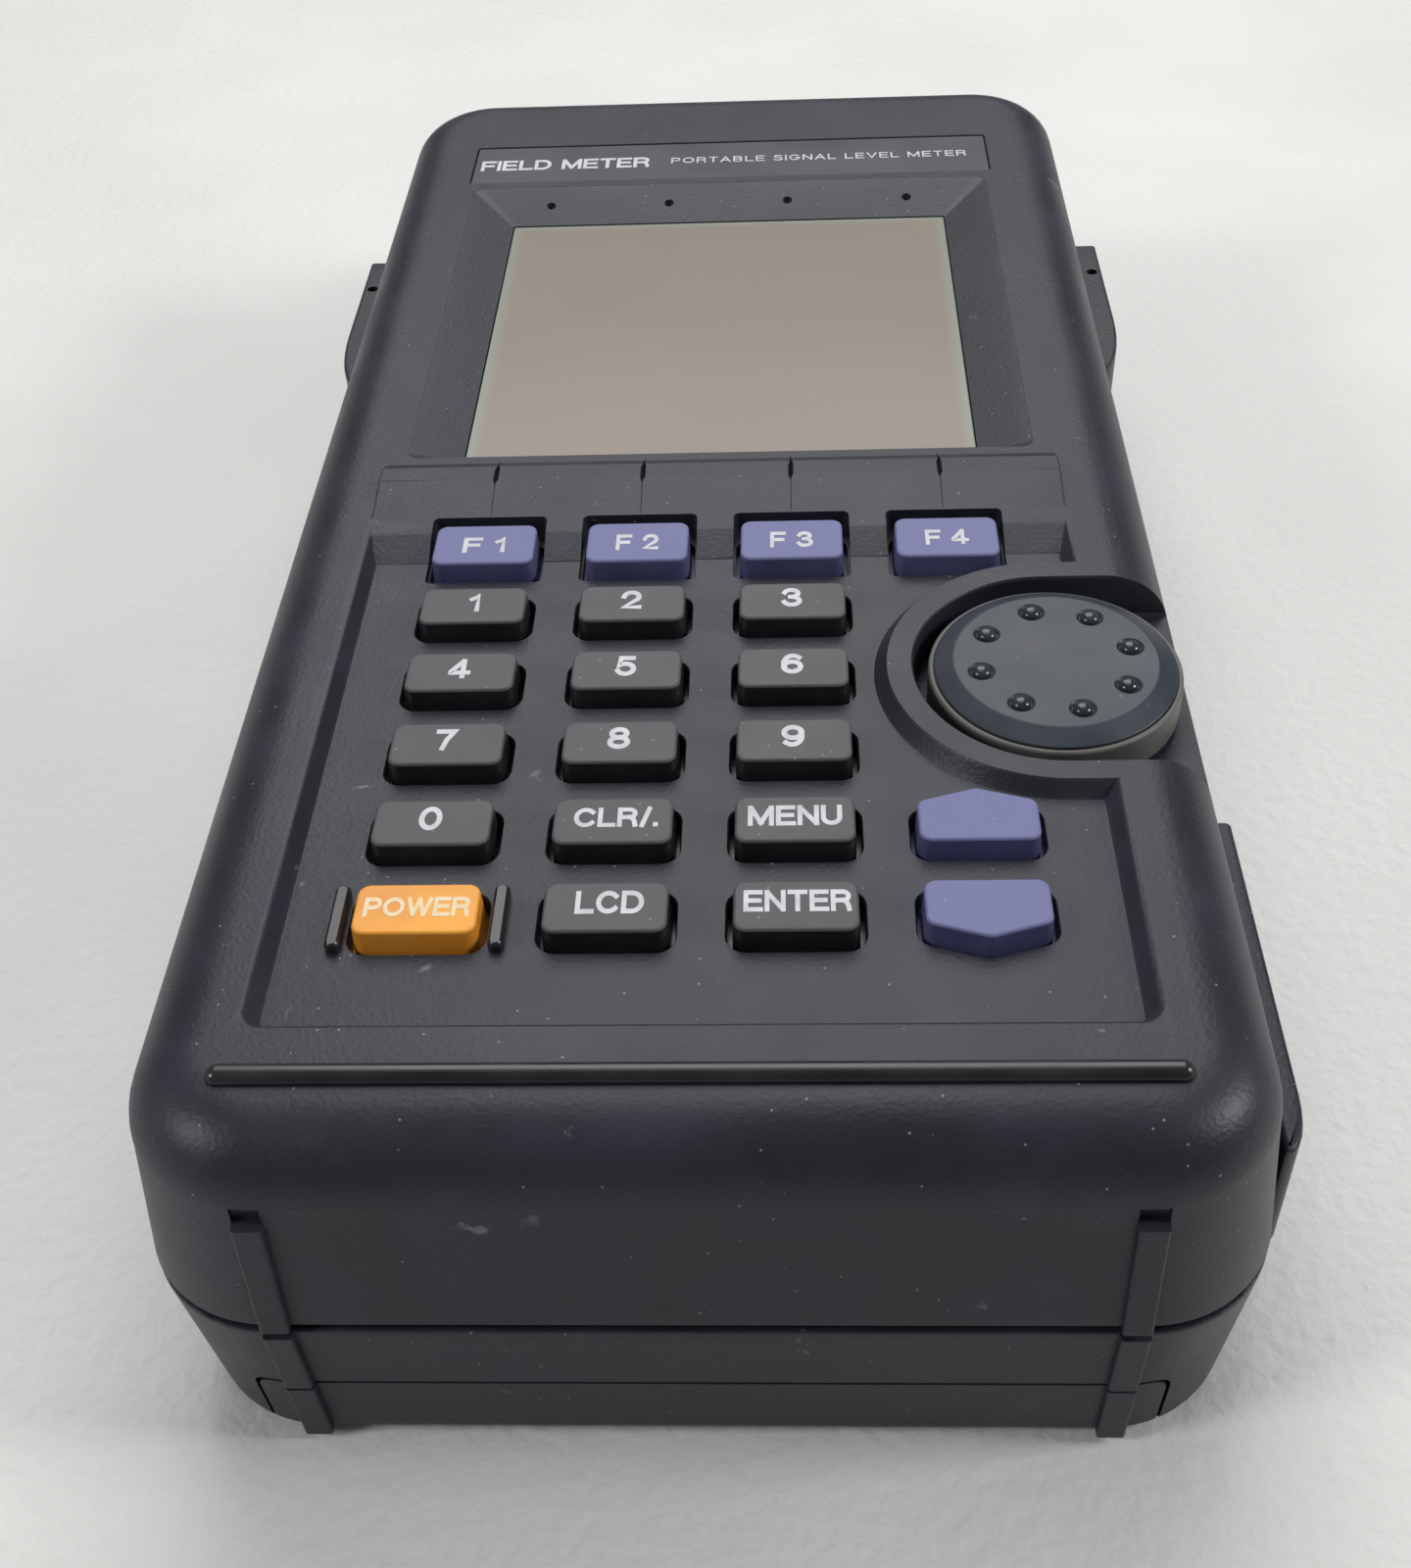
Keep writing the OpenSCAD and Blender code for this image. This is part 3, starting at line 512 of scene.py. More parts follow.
@dataclass(frozen=True)
class Moulded:
    """A moulded plastic or rubber: tinted base, cloudy handling haze, dust, fine grain.

    Each name with mm in it is the width or depth of that pattern's features.
    """

    name: str
    colour: str
    roughness: float
    grain_mm: float = 0.0
    grain_depth_mm: float = 0.0
    haze: str | None = None
    haze_mm: float = 14.0
    haze_share: float = 0.35
    dust: float = 0.0
    dust_mm: float = 0.9
    dust_colour: str = "#b9b6b0"
    scuff: float = 0.0
    scuff_mm: float = 7.0
    scuff_colour: str = "#8f9095"
    specular: float = 0.5

    def dusted(self, paint: Paint, tint: bpy.types.NodeSocket) -> bpy.types.NodeSocket:
        """Pale specks in a share of the cells of a random pattern, round their middles.

        Args:
            paint: The material in hand.
            tint: The colour under the dust.

        Returns:
            The colour with its dust.
        """
        tree = paint.tree
        inputs = {"Vector": paint.place, "Scale": 1 / (self.dust_mm * MM)}
        cell = node(tree, "TexVoronoi", inputs)
        near = remap(tree, cell.outputs["Distance"], (0.07, 0.17), (1.0, 0.0), True)
        pick = node(tree, "SeparateColor", {0: cell.outputs["Color"]}).outputs[0]
        some = maths(tree, "GREATER_THAN", pick, 1 - self.dust)
        share = maths(tree, "MULTIPLY", maths(tree, "MULTIPLY", near, some), 0.4)
        return mixed(tree, share, tint, linear(self.dust_colour))

    def scuffed(self, paint: Paint, tint: bpy.types.NodeSocket) -> bpy.types.NodeSocket:
        """Pale rubbed marks where a distorted noise peaks.

        Args:
            paint: The material in hand.
            tint: The colour under the marks.

        Returns:
            The colour with its marks.
        """
        worn = noise(paint.tree, paint.place, self.scuff_mm, 5, 1.2)
        peak = remap(paint.tree, worn, (0.7, 0.76), (0.0, self.scuff), True)
        return mixed(paint.tree, peak, tint, linear(self.scuff_colour))

    def build(self) -> bpy.types.Material:
        """Makes the material from Object coordinates."""
        paint = Paint.named(self.name)
        tree = paint.tree
        cloud = noise(tree, paint.place, self.haze_mm, 4)
        share = remap(tree, cloud, (0.62 - self.haze_share, 0.78), smooth=True)
        tint = mixed(tree, share, linear(self.colour), linear(self.haze or self.colour))
        if self.dust:
            tint = self.dusted(paint, tint)
        if self.scuff:
            tint = self.scuffed(paint, tint)
        spread = (self.roughness - 0.05, self.roughness + 0.06)
        paint.feed(Base_Color=tint, Roughness=remap(tree, cloud, (0.3, 0.7), spread))
        if self.grain_depth_mm:
            inputs = {
                "Height": noise(tree, paint.place, self.grain_mm, 2),
                "Strength": 1.0,
                "Distance": self.grain_depth_mm * MM,
            }
            paint.feed(Normal=node(tree, "Bump", inputs).outputs[0])
        paint.hold(IOR=1.53, Specular_IOR_Level=self.specular)
        return paint.material


@dataclass(frozen=True)
class Metal:
    """A metal: its colour, a plated roughness, and uneven polish."""

    name: str
    colour: str
    roughness: float
    scratch_mm: float = 0.4

    def build(self) -> bpy.types.Material:
        """Makes the material from Object coordinates."""
        paint = Paint.named(self.name)
        tree = paint.tree
        patch = noise(tree, paint.place, self.scratch_mm, 3)
        base = linear(self.colour)
        light = (*(min(1.0, c * 1.12) for c in base[:3]), 1.0)
        spread = (self.roughness - 0.06, self.roughness + 0.08)
        paint.feed(
            Base_Color=mixed(tree, remap(tree, patch, (0.3, 0.75)), base, light),
            Roughness=remap(tree, patch, (0.3, 0.7), spread),
        )
        paint.hold(Metallic=1.0)
        return paint.material


@dataclass(frozen=True)
class Opening:
    """A rectangle on the panel's middle line, where something is let in."""

    half: float
    near: float
    far: float

    def plan(self, gap: float, radius: float, steps: int) -> Outline:
        """Its outline, smaller by a gap all round."""
        low, high = (gap - self.half, self.near + gap), (self.half - gap, self.far - gap)
        return Outline.rect(low, high, radius, steps)


WINDOW = Opening(31.9, 0.45, 63.65)
BEZEL = Opening(38.2, -1.75, 71.15)
STRIP = Opening(39.3, 73.05, 85.25)


@dataclass(frozen=True)
class Screen:
    """A passive liquid-crystal display behind a clear lens, switched off.

    The glass is warm grey, and cooler and greener in a band along its edges.
    """

    name: str
    colour: str
    edge: str
    opening: Opening
    band: float
    cloud_mm: float = 22.0

    def build(self) -> bpy.types.Material:
        """Makes the material from Object coordinates."""
        paint = Paint.named(self.name)
        tree = paint.tree
        part = node(tree, "SeparateXYZ", {0: paint.place})
        across = maths(tree, "ABSOLUTE", part.outputs["X"])
        near, far = self.opening.near, self.opening.far
        middle = (near + far) / 2 * MM
        off = maths(tree, "SUBTRACT", part.outputs["Y"], middle)
        edges = []
        for value, reach in (
            (across, self.opening.half),
            (maths(tree, "ABSOLUTE", off), (far - near) / 2),
        ):
            source = ((reach - self.band) * MM, reach * MM)
            edges.append(remap(tree, value, source, smooth=True))
        cloud = noise(tree, paint.place, self.cloud_mm, 3)
        base = linear(self.colour)
        light = (*(min(1.0, c * 1.07) for c in base[:3]), 1.0)
        uneven = mixed(tree, remap(tree, cloud, (0.3, 0.75)), base, light)
        edge = maths(tree, "MAXIMUM", *edges)
        paint.feed(Base_Color=mixed(tree, edge, uneven, linear(self.edge)))
        paint.hold(Roughness=0.34, Coat_Weight=0.08, Coat_Roughness=0.1, IOR=1.5)
        return paint.material


class Finish(Enum):
    """The finishes of the meter, each named for what the real one is."""

    # Charcoal ABS moulded on a spark-eroded tool: dull, with a grain that glitters faintly,
    # dust specks and a few rubbed marks.
    CASE = Moulded(
        "charcoal_abs",
        "#25262e",
        roughness=0.42,
        grain_mm=0.5,
        grain_depth_mm=0.05,
        haze="#2f303a",
        haze_mm=12,
        haze_share=0.3,
        dust=0.07,
        dust_mm=0.95,
        scuff=0.4,
        specular=0.3,
    )
    # The same ABS where it left a polished part of the tool: black and shiny.
    BAR = Moulded("polished_black_abs", "#1b1c1f", 0.28, haze="#26272a", haze_mm=9)
    # Silicone rubber keys with a matt coat that has picked up dust.
    KEY = Moulded(
        "coated_key_grey",
        "#454547",
        roughness=0.58,
        grain_mm=0.3,
        grain_depth_mm=0.008,
        haze="#4f4f51",
        haze_mm=6,
        haze_share=0.45,
        dust=0.09,
    )
    # Bare sides of the keys, darker and glossier than the coated tops.
    KEY_SIDE = Moulded("key_side_black", "#1d1e20", 0.3, haze="#27282b", haze_mm=5)
    # The same coat in a dusty blue violet, with fewer specks.
    VIOLET = Moulded(
        "coated_key_violet",
        "#6a6c97",
        roughness=0.6,
        grain_mm=0.3,
        grain_depth_mm=0.006,
        haze="#73759f",
        haze_mm=6,
        haze_share=0.4,
        dust=0.03,
        specular=0.4,
    )
    # Bare violet rubber, deeper in colour and smoother.
    VIOLET_SIDE = Moulded("key_side_violet", "#4c4d74", 0.4, haze="#595a82", haze_mm=5)
    # The coat in warm orange, the brightest spot of the panel.
    ORANGE = Moulded(
        "coated_key_orange",
        "#df9030",
        roughness=0.5,
        grain_mm=0.3,
        grain_depth_mm=0.006,
        haze="#f4aa3c",
        haze_mm=6,
        haze_share=0.4,
        dust=0.02,
    )
    # Bare orange rubber, with a soft shine.
    ORANGE_SIDE = Moulded("key_side_orange", "#e8932a", 0.38, haze="#efa03a", haze_mm=5)
    # Screen-printed ink, slightly raised and matt.
    INK = Moulded("white_ink", "#cfd0d3", 0.55, haze="#bcbdc1", haze_mm=2)
    # The same ink in cream on the orange key, where it reads softly.
    INK_CREAM = Moulded("cream_ink", "#e9d6b0", 0.55, haze="#e2cca0", haze_mm=2)
    # Slate PC-ABS with a fine satin tool finish.
    DIAL = Moulded(
        "slate_pc_abs",
        "#31363f",
        roughness=0.42,
        grain_mm=0.35,
        grain_depth_mm=0.004,
        haze="#393f48",
        haze_mm=8,
        haze_share=0.3,
        dust=0.03,
        specular=0.34,
    )
    # The same PC-ABS polished: each bump carries a small bright glint.
    BUMP = Moulded("dial_bump_gloss", "#2b2f35", 0.2, haze="#33373d", haze_mm=3)
    # Grey thermoplastic rubber, matt, greased by fingers.
    RING = Moulded(
        "grey_tpe",
        "#504f4c",
        roughness=0.5,
        grain_mm=0.25,
        grain_depth_mm=0.01,
        haze="#605f5a",
        haze_mm=5,
        haze_share=0.5,
    )
    # Extruded rubber cord: a dead black line round the case.
    SEAL = Moulded("black_epdm", "#111214", 0.6, haze="#16171a")
    # Printed polyester film: a flat, faintly satin sheet.
    LABEL = Moulded("printed_polyester", "#2b2d32", 0.36, haze="#303238", haze_mm=9)
    # Moulded PBT of sockets and hubs: black with a soft shine.
    SOCKET = Moulded("black_pbt", "#141517", 0.4, haze="#1a1b1e", haze_mm=6)
    # Calendered silicone: dull dark grey.
    MAT = Moulded("silicone_sheet", "#26272a", 0.6, haze="#2d2e31", haze_mm=7)
    # Green lacquer over copper: glossy and slightly mottled.
    BOARD = Moulded("solder_mask", "#23513a", 0.35, haze="#2c5f45", haze_mm=4)
    # Float glass over a polariser: grey green and smooth.
    LCD = Moulded("display_glass", "#7f8176", 0.3, haze="#85877c", haze_mm=9)
    # Pressed paper cone: matt and even.
    SPEAKER = Moulded("speaker_paper", "#232427", 0.7, haze="#2b2c2f", haze_mm=3)
    # Shrunk PVC sleeve of a dry cell: blue and glossy.
    CELL = Moulded("cell_sleeve", "#34597a", 0.3, haze="#3c6488", haze_mm=12)
    # Bright zinc on turned steel: cool grey with a soft sheen.
    STEEL = Metal("zinc_plated_steel", "#a3a5a8", 0.35)
    # Nickel on brass: warm grey, the shiniest metal here.
    NICKEL = Metal("nickel_plate", "#b9b6ae", 0.28)
    # Tinned steel sheet: pale and a little dull.
    TIN = Metal("tin_plate", "#b5b7b9", 0.4)
    # Plated spring brass: muted gold.
    BRASS = Metal("plated_brass", "#b3924f", 0.35)
    # Liquid-crystal glass behind an acrylic lens: warm grey, flat and softly shining.
    SCREEN = Screen("lcd_off", "#7a6e61", "#7c8277", WINDOW, band=2.2)

    def material(self) -> bpy.types.Material:
        """The finish's material, made the first time that it is asked for."""
        found = bpy.data.materials.get(self.value.name)
        return found or self.value.build()


def piece(
    name: str,
    solid: Solid,
    body: str,
    finishes: Sequence[Finish],
    replaces: Sequence[str] = (),
    sharp_deg: float = 32,
    face_finish: np.ndarray | None = None,
) -> bpy.types.Object:
    """Makes a finished, shaded object that rides on a body.

    Args:
        name: The object's name.
        solid: Its surface.
        body: The CAD body it moves with.
        finishes: Its materials, in slot order.
        replaces: CAD nodes that it stands for.
        sharp_deg: Edges that turn more than this stay crisp.
        face_finish: Material number of each face, where there is more than one.

    Returns:
        The object.
    """
    mesh = solid.mesh(name)
    for finish in finishes:
        mesh.materials.append(finish.material())
    if face_finish is not None:
        mesh.polygons.foreach_set("material_index", face_finish.astype(np.int32))
    work = bmesh.new()
    work.from_mesh(mesh)
    bmesh.ops.remove_doubles(work, verts=work.verts, dist=0.004 * MM)
    bmesh.ops.dissolve_degenerate(work, edges=work.edges, dist=0.002 * MM)
    work.to_mesh(mesh)
    work.free()
    mesh.shade_smooth()
    mesh.set_sharp_from_angle(angle=math.radians(sharp_deg))
    made = bpy.data.objects.new(name, mesh)
    bpy.context.scene.collection.objects.link(made)
    weigh = made.modifiers.new("weighted", "WEIGHTED_NORMAL")
    weigh.keep_sharp, weigh.weight, weigh.mode = True, 100, "FACE_AREA"
    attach(made, body)
    if replaces:
        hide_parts(*replaces)
    log.info("%s: %d faces on %s", name, len(mesh.polygons), body)
    return made


# ---- the case ---------------------------------------------------------------


class KeyShape(Enum):
    """Plan of a key."""

    PLAIN = "plain"
    FUNCTION = "function"
    UP = "up"
    DOWN = "down"


@dataclass(frozen=True)
class KeySize:
    """Sizes of the key tops."""

    width: float = 11.5
    depth: float = 6.1
    function_depth: float = 7.2
    corner: float = 1.15
    heel: float = 3.05
    shoulder: float = 2.25
    shoulder_corner: float = 1.0
    tip: float = 4.05
    tip_corner: float = 1.4

    def outline(self, shape: KeyShape) -> Outline:
        """The key's plan about its own origin: a rounded rectangle, or one with a point.

        Args:
            shape: Which of the plans.

        Returns:
            The outline.
        """
        half = self.width / 2
        if shape in (KeyShape.PLAIN, KeyShape.FUNCTION):
            deep = self.depth if shape is KeyShape.PLAIN else self.function_depth
            return Outline.rect((-half, -deep / 2), (half, deep / 2), self.corner)
        up = (
            (-half, -self.heel),
            (half, -self.heel),
            (half, self.shoulder),
            (0.0, self.tip),
            (-half, self.shoulder),
        )
        point = (self.shoulder_corner, self.tip_corner, self.shoulder_corner)
        radii = (self.corner, self.corner, *point)
        if shape is KeyShape.UP:
            return Outline(up, radii)
        return Outline(tuple((x, -y) for x, y in reversed(up)), radii[::-1])


@dataclass(frozen=True)
class KeySpec:
    """One key: its node, plan, legend with its size and shift, and finishes."""

    node: str
    shape: KeyShape = KeyShape.PLAIN
    legend: str = ""
    legend_w: float = 0.0
    legend_h: float = 0.0
    dx: float = 0.0
    dy: float = 0.0
    top: Finish = Finish.KEY
    side: Finish = Finish.KEY_SIDE
    ink: Finish = Finish.INK
    slot: str = "key_grey"


def digit(number: int, dx: float, width: float = 2.35) -> KeySpec:
    """A digit key, its digit moved across by dx."""
    return KeySpec(f"key_{number}", KeyShape.PLAIN, str(number), width, 3.3, dx, 0.45)


def word(name: str, legend: str, size: tuple[float, float], dx: float, dy: float) -> KeySpec:
    """A grey key with a word, its width and height, and its shift from the middle."""
    return KeySpec("key_" + name, KeyShape.PLAIN, legend, *size, dx, dy)


def violet(name: str, shape: KeyShape, legend: str = "") -> KeySpec:
    """A violet key: an arrow, or a function key with its legend."""
    size = (4.9, 3.0, 0.0, -0.2) if legend else ()
    look = {"top": Finish.VIOLET, "side": Finish.VIOLET_SIDE, "slot": "key_violet"}
    return KeySpec("key_" + name, shape, legend, *size, **look)


KEYS: tuple[KeySpec, ...] = (
    *(digit(n, -0.1) for n in range(2, 10)),
    digit(1, 0.1, 1.35),
    digit(0, -0.2, 2.3),
    word("clear", "CLR/.", (8.2, 3.0), 0.3, 0.35),
    word("menu", "MENU", (9.1, 2.85), 0.0, 0.35),
    word("lcd", "LCD", (6.4, 2.9), 0.4, 0.5),
    word("enter", "ENTER", (10.0, 2.8), 0.15, 0.5),
    replace(
        word("power", "POWER", (10.0, 2.55), 0.1, 0.15),
        top=Finish.ORANGE,
        side=Finish.ORANGE_SIDE,
        ink=Finish.INK_CREAM,
        slot="key_orange",
    ),
    violet("up", KeyShape.UP),
    violet("down", KeyShape.DOWN),
    *(violet(f"f{n}", KeyShape.FUNCTION, f"F {n}") for n in range(1, 5)),
)
KEY_COLUMNS = (-26.475, -8.825, 8.825, 26.475)


def centre_of(name: str) -> tuple[float, float]:
    """Middle of a CAD node's box in plan, in mm."""
    low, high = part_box(name)
    return (low.x + high.x) / 2 / MM, (low.y + high.y) / 2 / MM


def key_place(spec: KeySpec) -> tuple[float, float]:
    """Where a key's own origin lies: its plunger's axis.

    An arrow's point makes its box reach further one way, so its axis isn't mid-box.

    Args:
        spec: The key.

    Returns:
        Its place in plan, in mm.
    """
    x, y = centre_of(spec.node)
    lean = (KeySize.tip - KeySize.heel) / 2
    return x, y + {KeyShape.UP: -lean, KeyShape.DOWN: lean}.get(spec.shape, 0.0)


@dataclass
class Case:
    """The two shells, the battery door, the side cover and what is moulded on them."""

    width: float = 105
    length: float = 215
    height: float = 45
    part_z: float = 21.7
    seam: float = 1
    seam_round: float = 0.35
    draft: float = 1.4
    corner: float = 13
    edge: float = 7.5
    foot: float = 2.5
    wall: float = 2.4
    floor_z: float = 43.3
    ceiling_z: float = 41.1
    kink_y: float = -14.65
    ramp_foot_y: float = -27.65
    recess_half: float = 40.4
    recess_near_y: float = -91.3
    recess_far_y: float = -8.0
    recess_corner: float = 1.8
    function_floor_z: float = 42.2
    bezel_depth: float = 2.5
    strip_z: float = 44.4
    dimple_y: float = 67.4
    dial: tuple[float, float] = (36.4, -43.0)
    pocket_r: float = 14.9
    collar_r: float = 17.8
    pocket_z: float = 39.5
    rib_x: float = 38.45
    rib_w: float = 2.7
    rib_h: float = 0.8
    rib_top_z: float = 36.4
    notch_top_z: float = 38.3
    notch_far_y: float = -105.55
    lug_x: float = 51.5
    lug_y: float = 46.1
    lug_reach: float = 3.7
    lug_run: float = 14
    lug_hole: tuple[float, float] = (53.7, 59.6)
    lug_hole_r: float = 0.8
    # Across and radius of each socket's hole in the far end.
    sockets: tuple[tuple[float, float], ...] = ((-25, 4.7), (8, 3.05), (27, 4.45))
    socket_z: float = 28.5
    port_low: tuple[float, float, float] = (46, -78.2, 19.8)
    port_high: tuple[float, float, float] = (60, -60.5, 28.95)
    # Height and across of the side cover's pin.
    hinge: tuple[float, float] = (14.0, 54.1)
    hinge_r: float = 1.3
    knuckle_r: float = 1.2
    knuckles: tuple[float, float] = (-60.3, -78.4)
    cover_near_y: float = -94.0
    cover_far_y: float = -51.3
    speaker: tuple[float, float] = (-22, -26.8)
    speaker_r: float = 10
    slot_pitch: float = 3
    bay_half: float = 38.55
    bay_near_y: float = -105.1
    bay_far_y: float = -47.3
    bay_top_z: float = 19.15
    bay_wall: float = 1.5
    stand_r: float = 3
    stand_top_z: float = 8.2
    boss_r: float = 3.6
    screw_head_r: float = 3
    screw_r: float = 1.6
    door_half: float = 42.9
    door_far_y: float = -45.8
    door_lip: float = 10.9
    door_t: float = 2.2
    door_gap: float = 0.4
    bar_y: float = -97.0
    bar_half: float = 41.1
    bar_r: float = 1.1
    guard_reach: float = 7.6
    groove_half: float = 12
    groove_y: float = -59.8
    groove_w: float = 1
    groove_pitch: float = 2.4
    screws: tuple[tuple[float, float], ...] = (
        (44, -20.8),
        (44, 97.5),
        (-44, -20.8),
        (-44, 97.5),
    )
    outline: Outline = field(init=False)

    def __post_init__(self) -> None:
        """Works out the plan of the parting line."""
        self.outline = Outline.rect(
            (-self.width / 2, -self.length / 2),
            (self.width / 2, self.length / 2),
            self.corner,
            14,
        )

    def lean(self, z: float) -> float:
        """How far the wall leans in at height z: nothing at the parting plane."""
        if z > self.part_z:
            return self.draft * (z - self.part_z) / (self.height - self.edge - self.part_z)
        return self.draft * (self.part_z - z) / (self.part_z - self.foot)

    @property
    def door_inner_y(self) -> float:
        """Inner face of the door's lip."""
        return -self.length / 2 + self.draft + self.door_t + 0.3

    def edge_rows(self, inset: float) -> list[tuple[float, float]]:
        """Rows of (inwards, away from the seam) that break an outer edge at the seam."""
        soft = self.seam_round if inset == 0 else 0.0
        return [(soft, 0.0), (soft * 0.3, soft * 0.3), (0.0, soft)]

    def upper(self, inset: float, top: float, bottom: float) -> Solid:
        """The upper form: leaning wall, then a quarter round, then the flat top.

        Args:
            inset: How far inside the outer face it lies.
            top: Height of its flat top.
            bottom: Height of its open edge.

        Returns:
            The closed solid.
        """
        round_r = max(self.edge - inset, 1.0)
        rows: list[tuple[float, ...]] = []
        for inwards, upwards in self.edge_rows(inset):
            z = bottom + upwards
            rows.append((-inset - inwards - self.lean(z), -inset - inwards, z))
        start = top - round_r
        for inwards, upwards in quarter(round_r, 14):
            rows.append((-inset - self.draft - inwards, -inset - inwards, start + upwards))
        return swept(self.outline, rows)

    def lower(self, inset: float, bottom: float, top: float) -> Solid:
        """The lower form: flat base, small round, then the leaning wall.

        Args:
            inset: How far inside the outer face it lies.
            bottom: Height of its base.
            top: Height of its open edge.

        Returns:
            The closed solid.
        """
        rows: list[tuple[float, ...]] = []
        for inwards, upwards in reversed(quarter(self.foot, 8)):
            z = bottom + self.foot - upwards
            rows.append((-inset - self.draft - inwards, -inset - inwards, z))
        for inwards, upwards in reversed(self.edge_rows(inset)):
            z = top - upwards
            rows.append((-inset - inwards - self.lean(z), -inset - inwards, z))
        return swept(self.outline, rows)

    def near_wall_y(self, z: float) -> float:
        """Where the near end face is at height z."""
        return -self.length / 2 + self.lean(z)

    def rib(self, side: int, low: float, high: float) -> Solid:
        """A grip rib on the near end: its plan slides along the leaning wall as it rises.

        Args:
            side: -1 for the left one, 1 for the right one.
            low: Height of its foot.
            high: Height of its top.

        Returns:
            The closed solid.
        """
        x = side * self.rib_x
        plan = Outline.rect(
            (x - self.rib_w / 2, -self.rib_h), (x + self.rib_w / 2, 2.0), 0.28, 3
        )
        rings = []
        for z in np.linspace(low, high, 8):
            flat = plan.at()
            level = np.full(len(flat), z)
            rings.append(
                np.stack([flat[:, 0], flat[:, 1] + self.near_wall_y(float(z)), level], 1)
            )
        return loft(np.array(rings))

    def ribs(self, low: float, high: float) -> Solid:
        """Both grip ribs between two heights."""
        return self.rib(-1, low, high).joined(self.rib(1, low, high))

    def port(self) -> Solid:
        """The opening for the serial socket, through both shells."""
        return block(self.port_low, self.port_high)

    def dial_u(self, radius: float, profile: Sequence[tuple[float, float]]) -> Solid:
        """A U-shaped form round the dial, open to the right-hand side.

        Args:
            radius: Radius of its round end.
            profile: Rows of (grow, height).

        Returns:
            The closed solid.
        """
        x, y = self.dial
        plan = Outline(
            ((x - radius, y - radius), (60, y - radius), (60, y + radius), (x - radius, y + radius)),
            (radius - 0.01, 0.02, 0.02, radius - 0.01),
            28,
        )
        return swept(plan, profile)

    def recess(self) -> Solid:
        """What is cut out for the keypad, less the ramp and the dial's collar.

        Its lip is a soft roll, which draws the line round the recess.
        """
        rim, floor = self.height, self.floor_z
        plan = Outline.rect(
            (-self.recess_half, self.recess_near_y),
            (self.recess_half, self.recess_far_y),
            self.recess_corner,
            8,
        )
        tray = swept(
            plan,
            [
                (-1.15, floor),
                (-0.86, floor + 0.26),
                (-0.14, rim - 0.4),
                (0.04, rim - 0.2),
                (0.5, rim + 0.02),
                (0.5, rim + 2),
            ],
        )
        wedge = swept(
            Outline(
                (
                    (self.ramp_foot_y, 38),
                    (4, 38),
                    (4, rim + 2.4),
                    (self.kink_y, rim),
                    (self.ramp_foot_y, floor),
                ),
                (0.02, 0.02, 0.02, 2.0, 12.0),
                4,
            ),
            [(0, -60), (0, 60)],
            Plane.YZ,
        )
        collar = self.dial_u(
            self.collar_r,
            [
                (1.2, floor - 3),
                (1.2, floor),
                (0.92, floor + 0.24),
                (0.16, rim - 0.3),
                (0.0, rim - 0.1),
                (-0.12, rim + 0.02),
                (-0.12, rim + 3),
            ],
        )
        return carved("recess", tray, [(Work.CUT, wedge), (Work.CUT, collar)])

    def key_pockets(self) -> tuple[Solid, Solid]:
        """Pockets right through the panel, and the shallow far part of the function keys'."""
        size = KeySize()
        through, shallow = [], []
        for spec in KEYS:
            x, y = key_place(spec)
            plan = size.outline(spec.shape)
            rim = self.floor_z if spec.shape is not KeyShape.FUNCTION else self.height + 1
            through.append(
                swept(
                    plan,
                    [
                        (0.72, self.ceiling_z - 2),
                        (0.72, rim - 0.26),
                        (0.8, rim - 0.08),
                        (0.89, rim + 0.01),
                        (0.89, self.height + 1.5),
                    ],
                ).moved(x, y)
            )
            if spec.shape is KeyShape.FUNCTION:
                half, deep = size.width / 2 + 0.95, size.function_depth / 2
                shallow.append(
                    swept(
                        Outline.rect(
                            (x - half, y - deep - 0.95), (x + half, y + deep + 2.3), 0.7
                        ),
                        [(0, self.function_floor_z), (0, self.height + 3)],
                    )
                )
        return together(through), together(shallow)

    def bezel(self) -> Solid:
        """The sloping surround of the display and the window's opening.

        A ring at share s of the way lies at inner + s (outer - inner), and rises with s.
        """
        inner, outer = WINDOW.plan(0, 0.4, 5).at(), BEZEL.plan(0, 1.4, 5).at()
        lip = BEZEL.plan(0, 1.4, 5).at(0.1)
        low = self.height - self.bezel_depth
        rows = [(inner, 38.0), (inner, low)]
        for share in (0.35, 0.7, 0.95):
            rows.append((inner + (outer - inner) * share, low + self.bezel_depth * share))
        rows += [(outer, self.height - 0.06), (lip, self.height + 0.02)]
        rows.append((lip, self.height + 2))
        rings = [np.column_stack([flat, np.full(len(flat), z)]) for flat, z in rows]
        return loft(np.array(rings))

    def ridge(self) -> tuple[Solid, Solid]:
        """The low ridge between display and keys, and the fine marks across it."""
        rim = self.height
        section = Outline(
            (
                (self.kink_y + 0.4, rim - 1.2),
                (-3.3, rim - 1.2),
                (-3.3, rim),
                (-5.4, rim + 1.0),
                (-8.2, rim + 1.0),
                (self.kink_y, rim - 0.02),
            ),
            (0.02, 0.02, 0.02, 0.5, 1.4, 0.1),
            6,
        )
        bar = swept(
            section,
            [(-0.35, -40.7), (-0.1, -40.62), (0, -40.4), (0, 40.4), (-0.1, 40.62), (-0.35, 40.7)],
            Plane.YZ,
        )
        # Rows of y, height of the surface, spread and depth of a V-shaped mark.
        groove = (
            (self.kink_y + 0.3, 45.06, 0.14, 0.22),
            (-9.2, 45.85, 0.14, 0.22),
            (-8.4, 45.92, 0.42, 0.6),
            (-6.2, 45.92, 0.42, 0.6),
            (-5.2, 45.8, 0.2, 0.3),
            (-3.0, 44.95, 0.16, 0.25),
        )
        marks = []
        for x in KEY_COLUMNS:
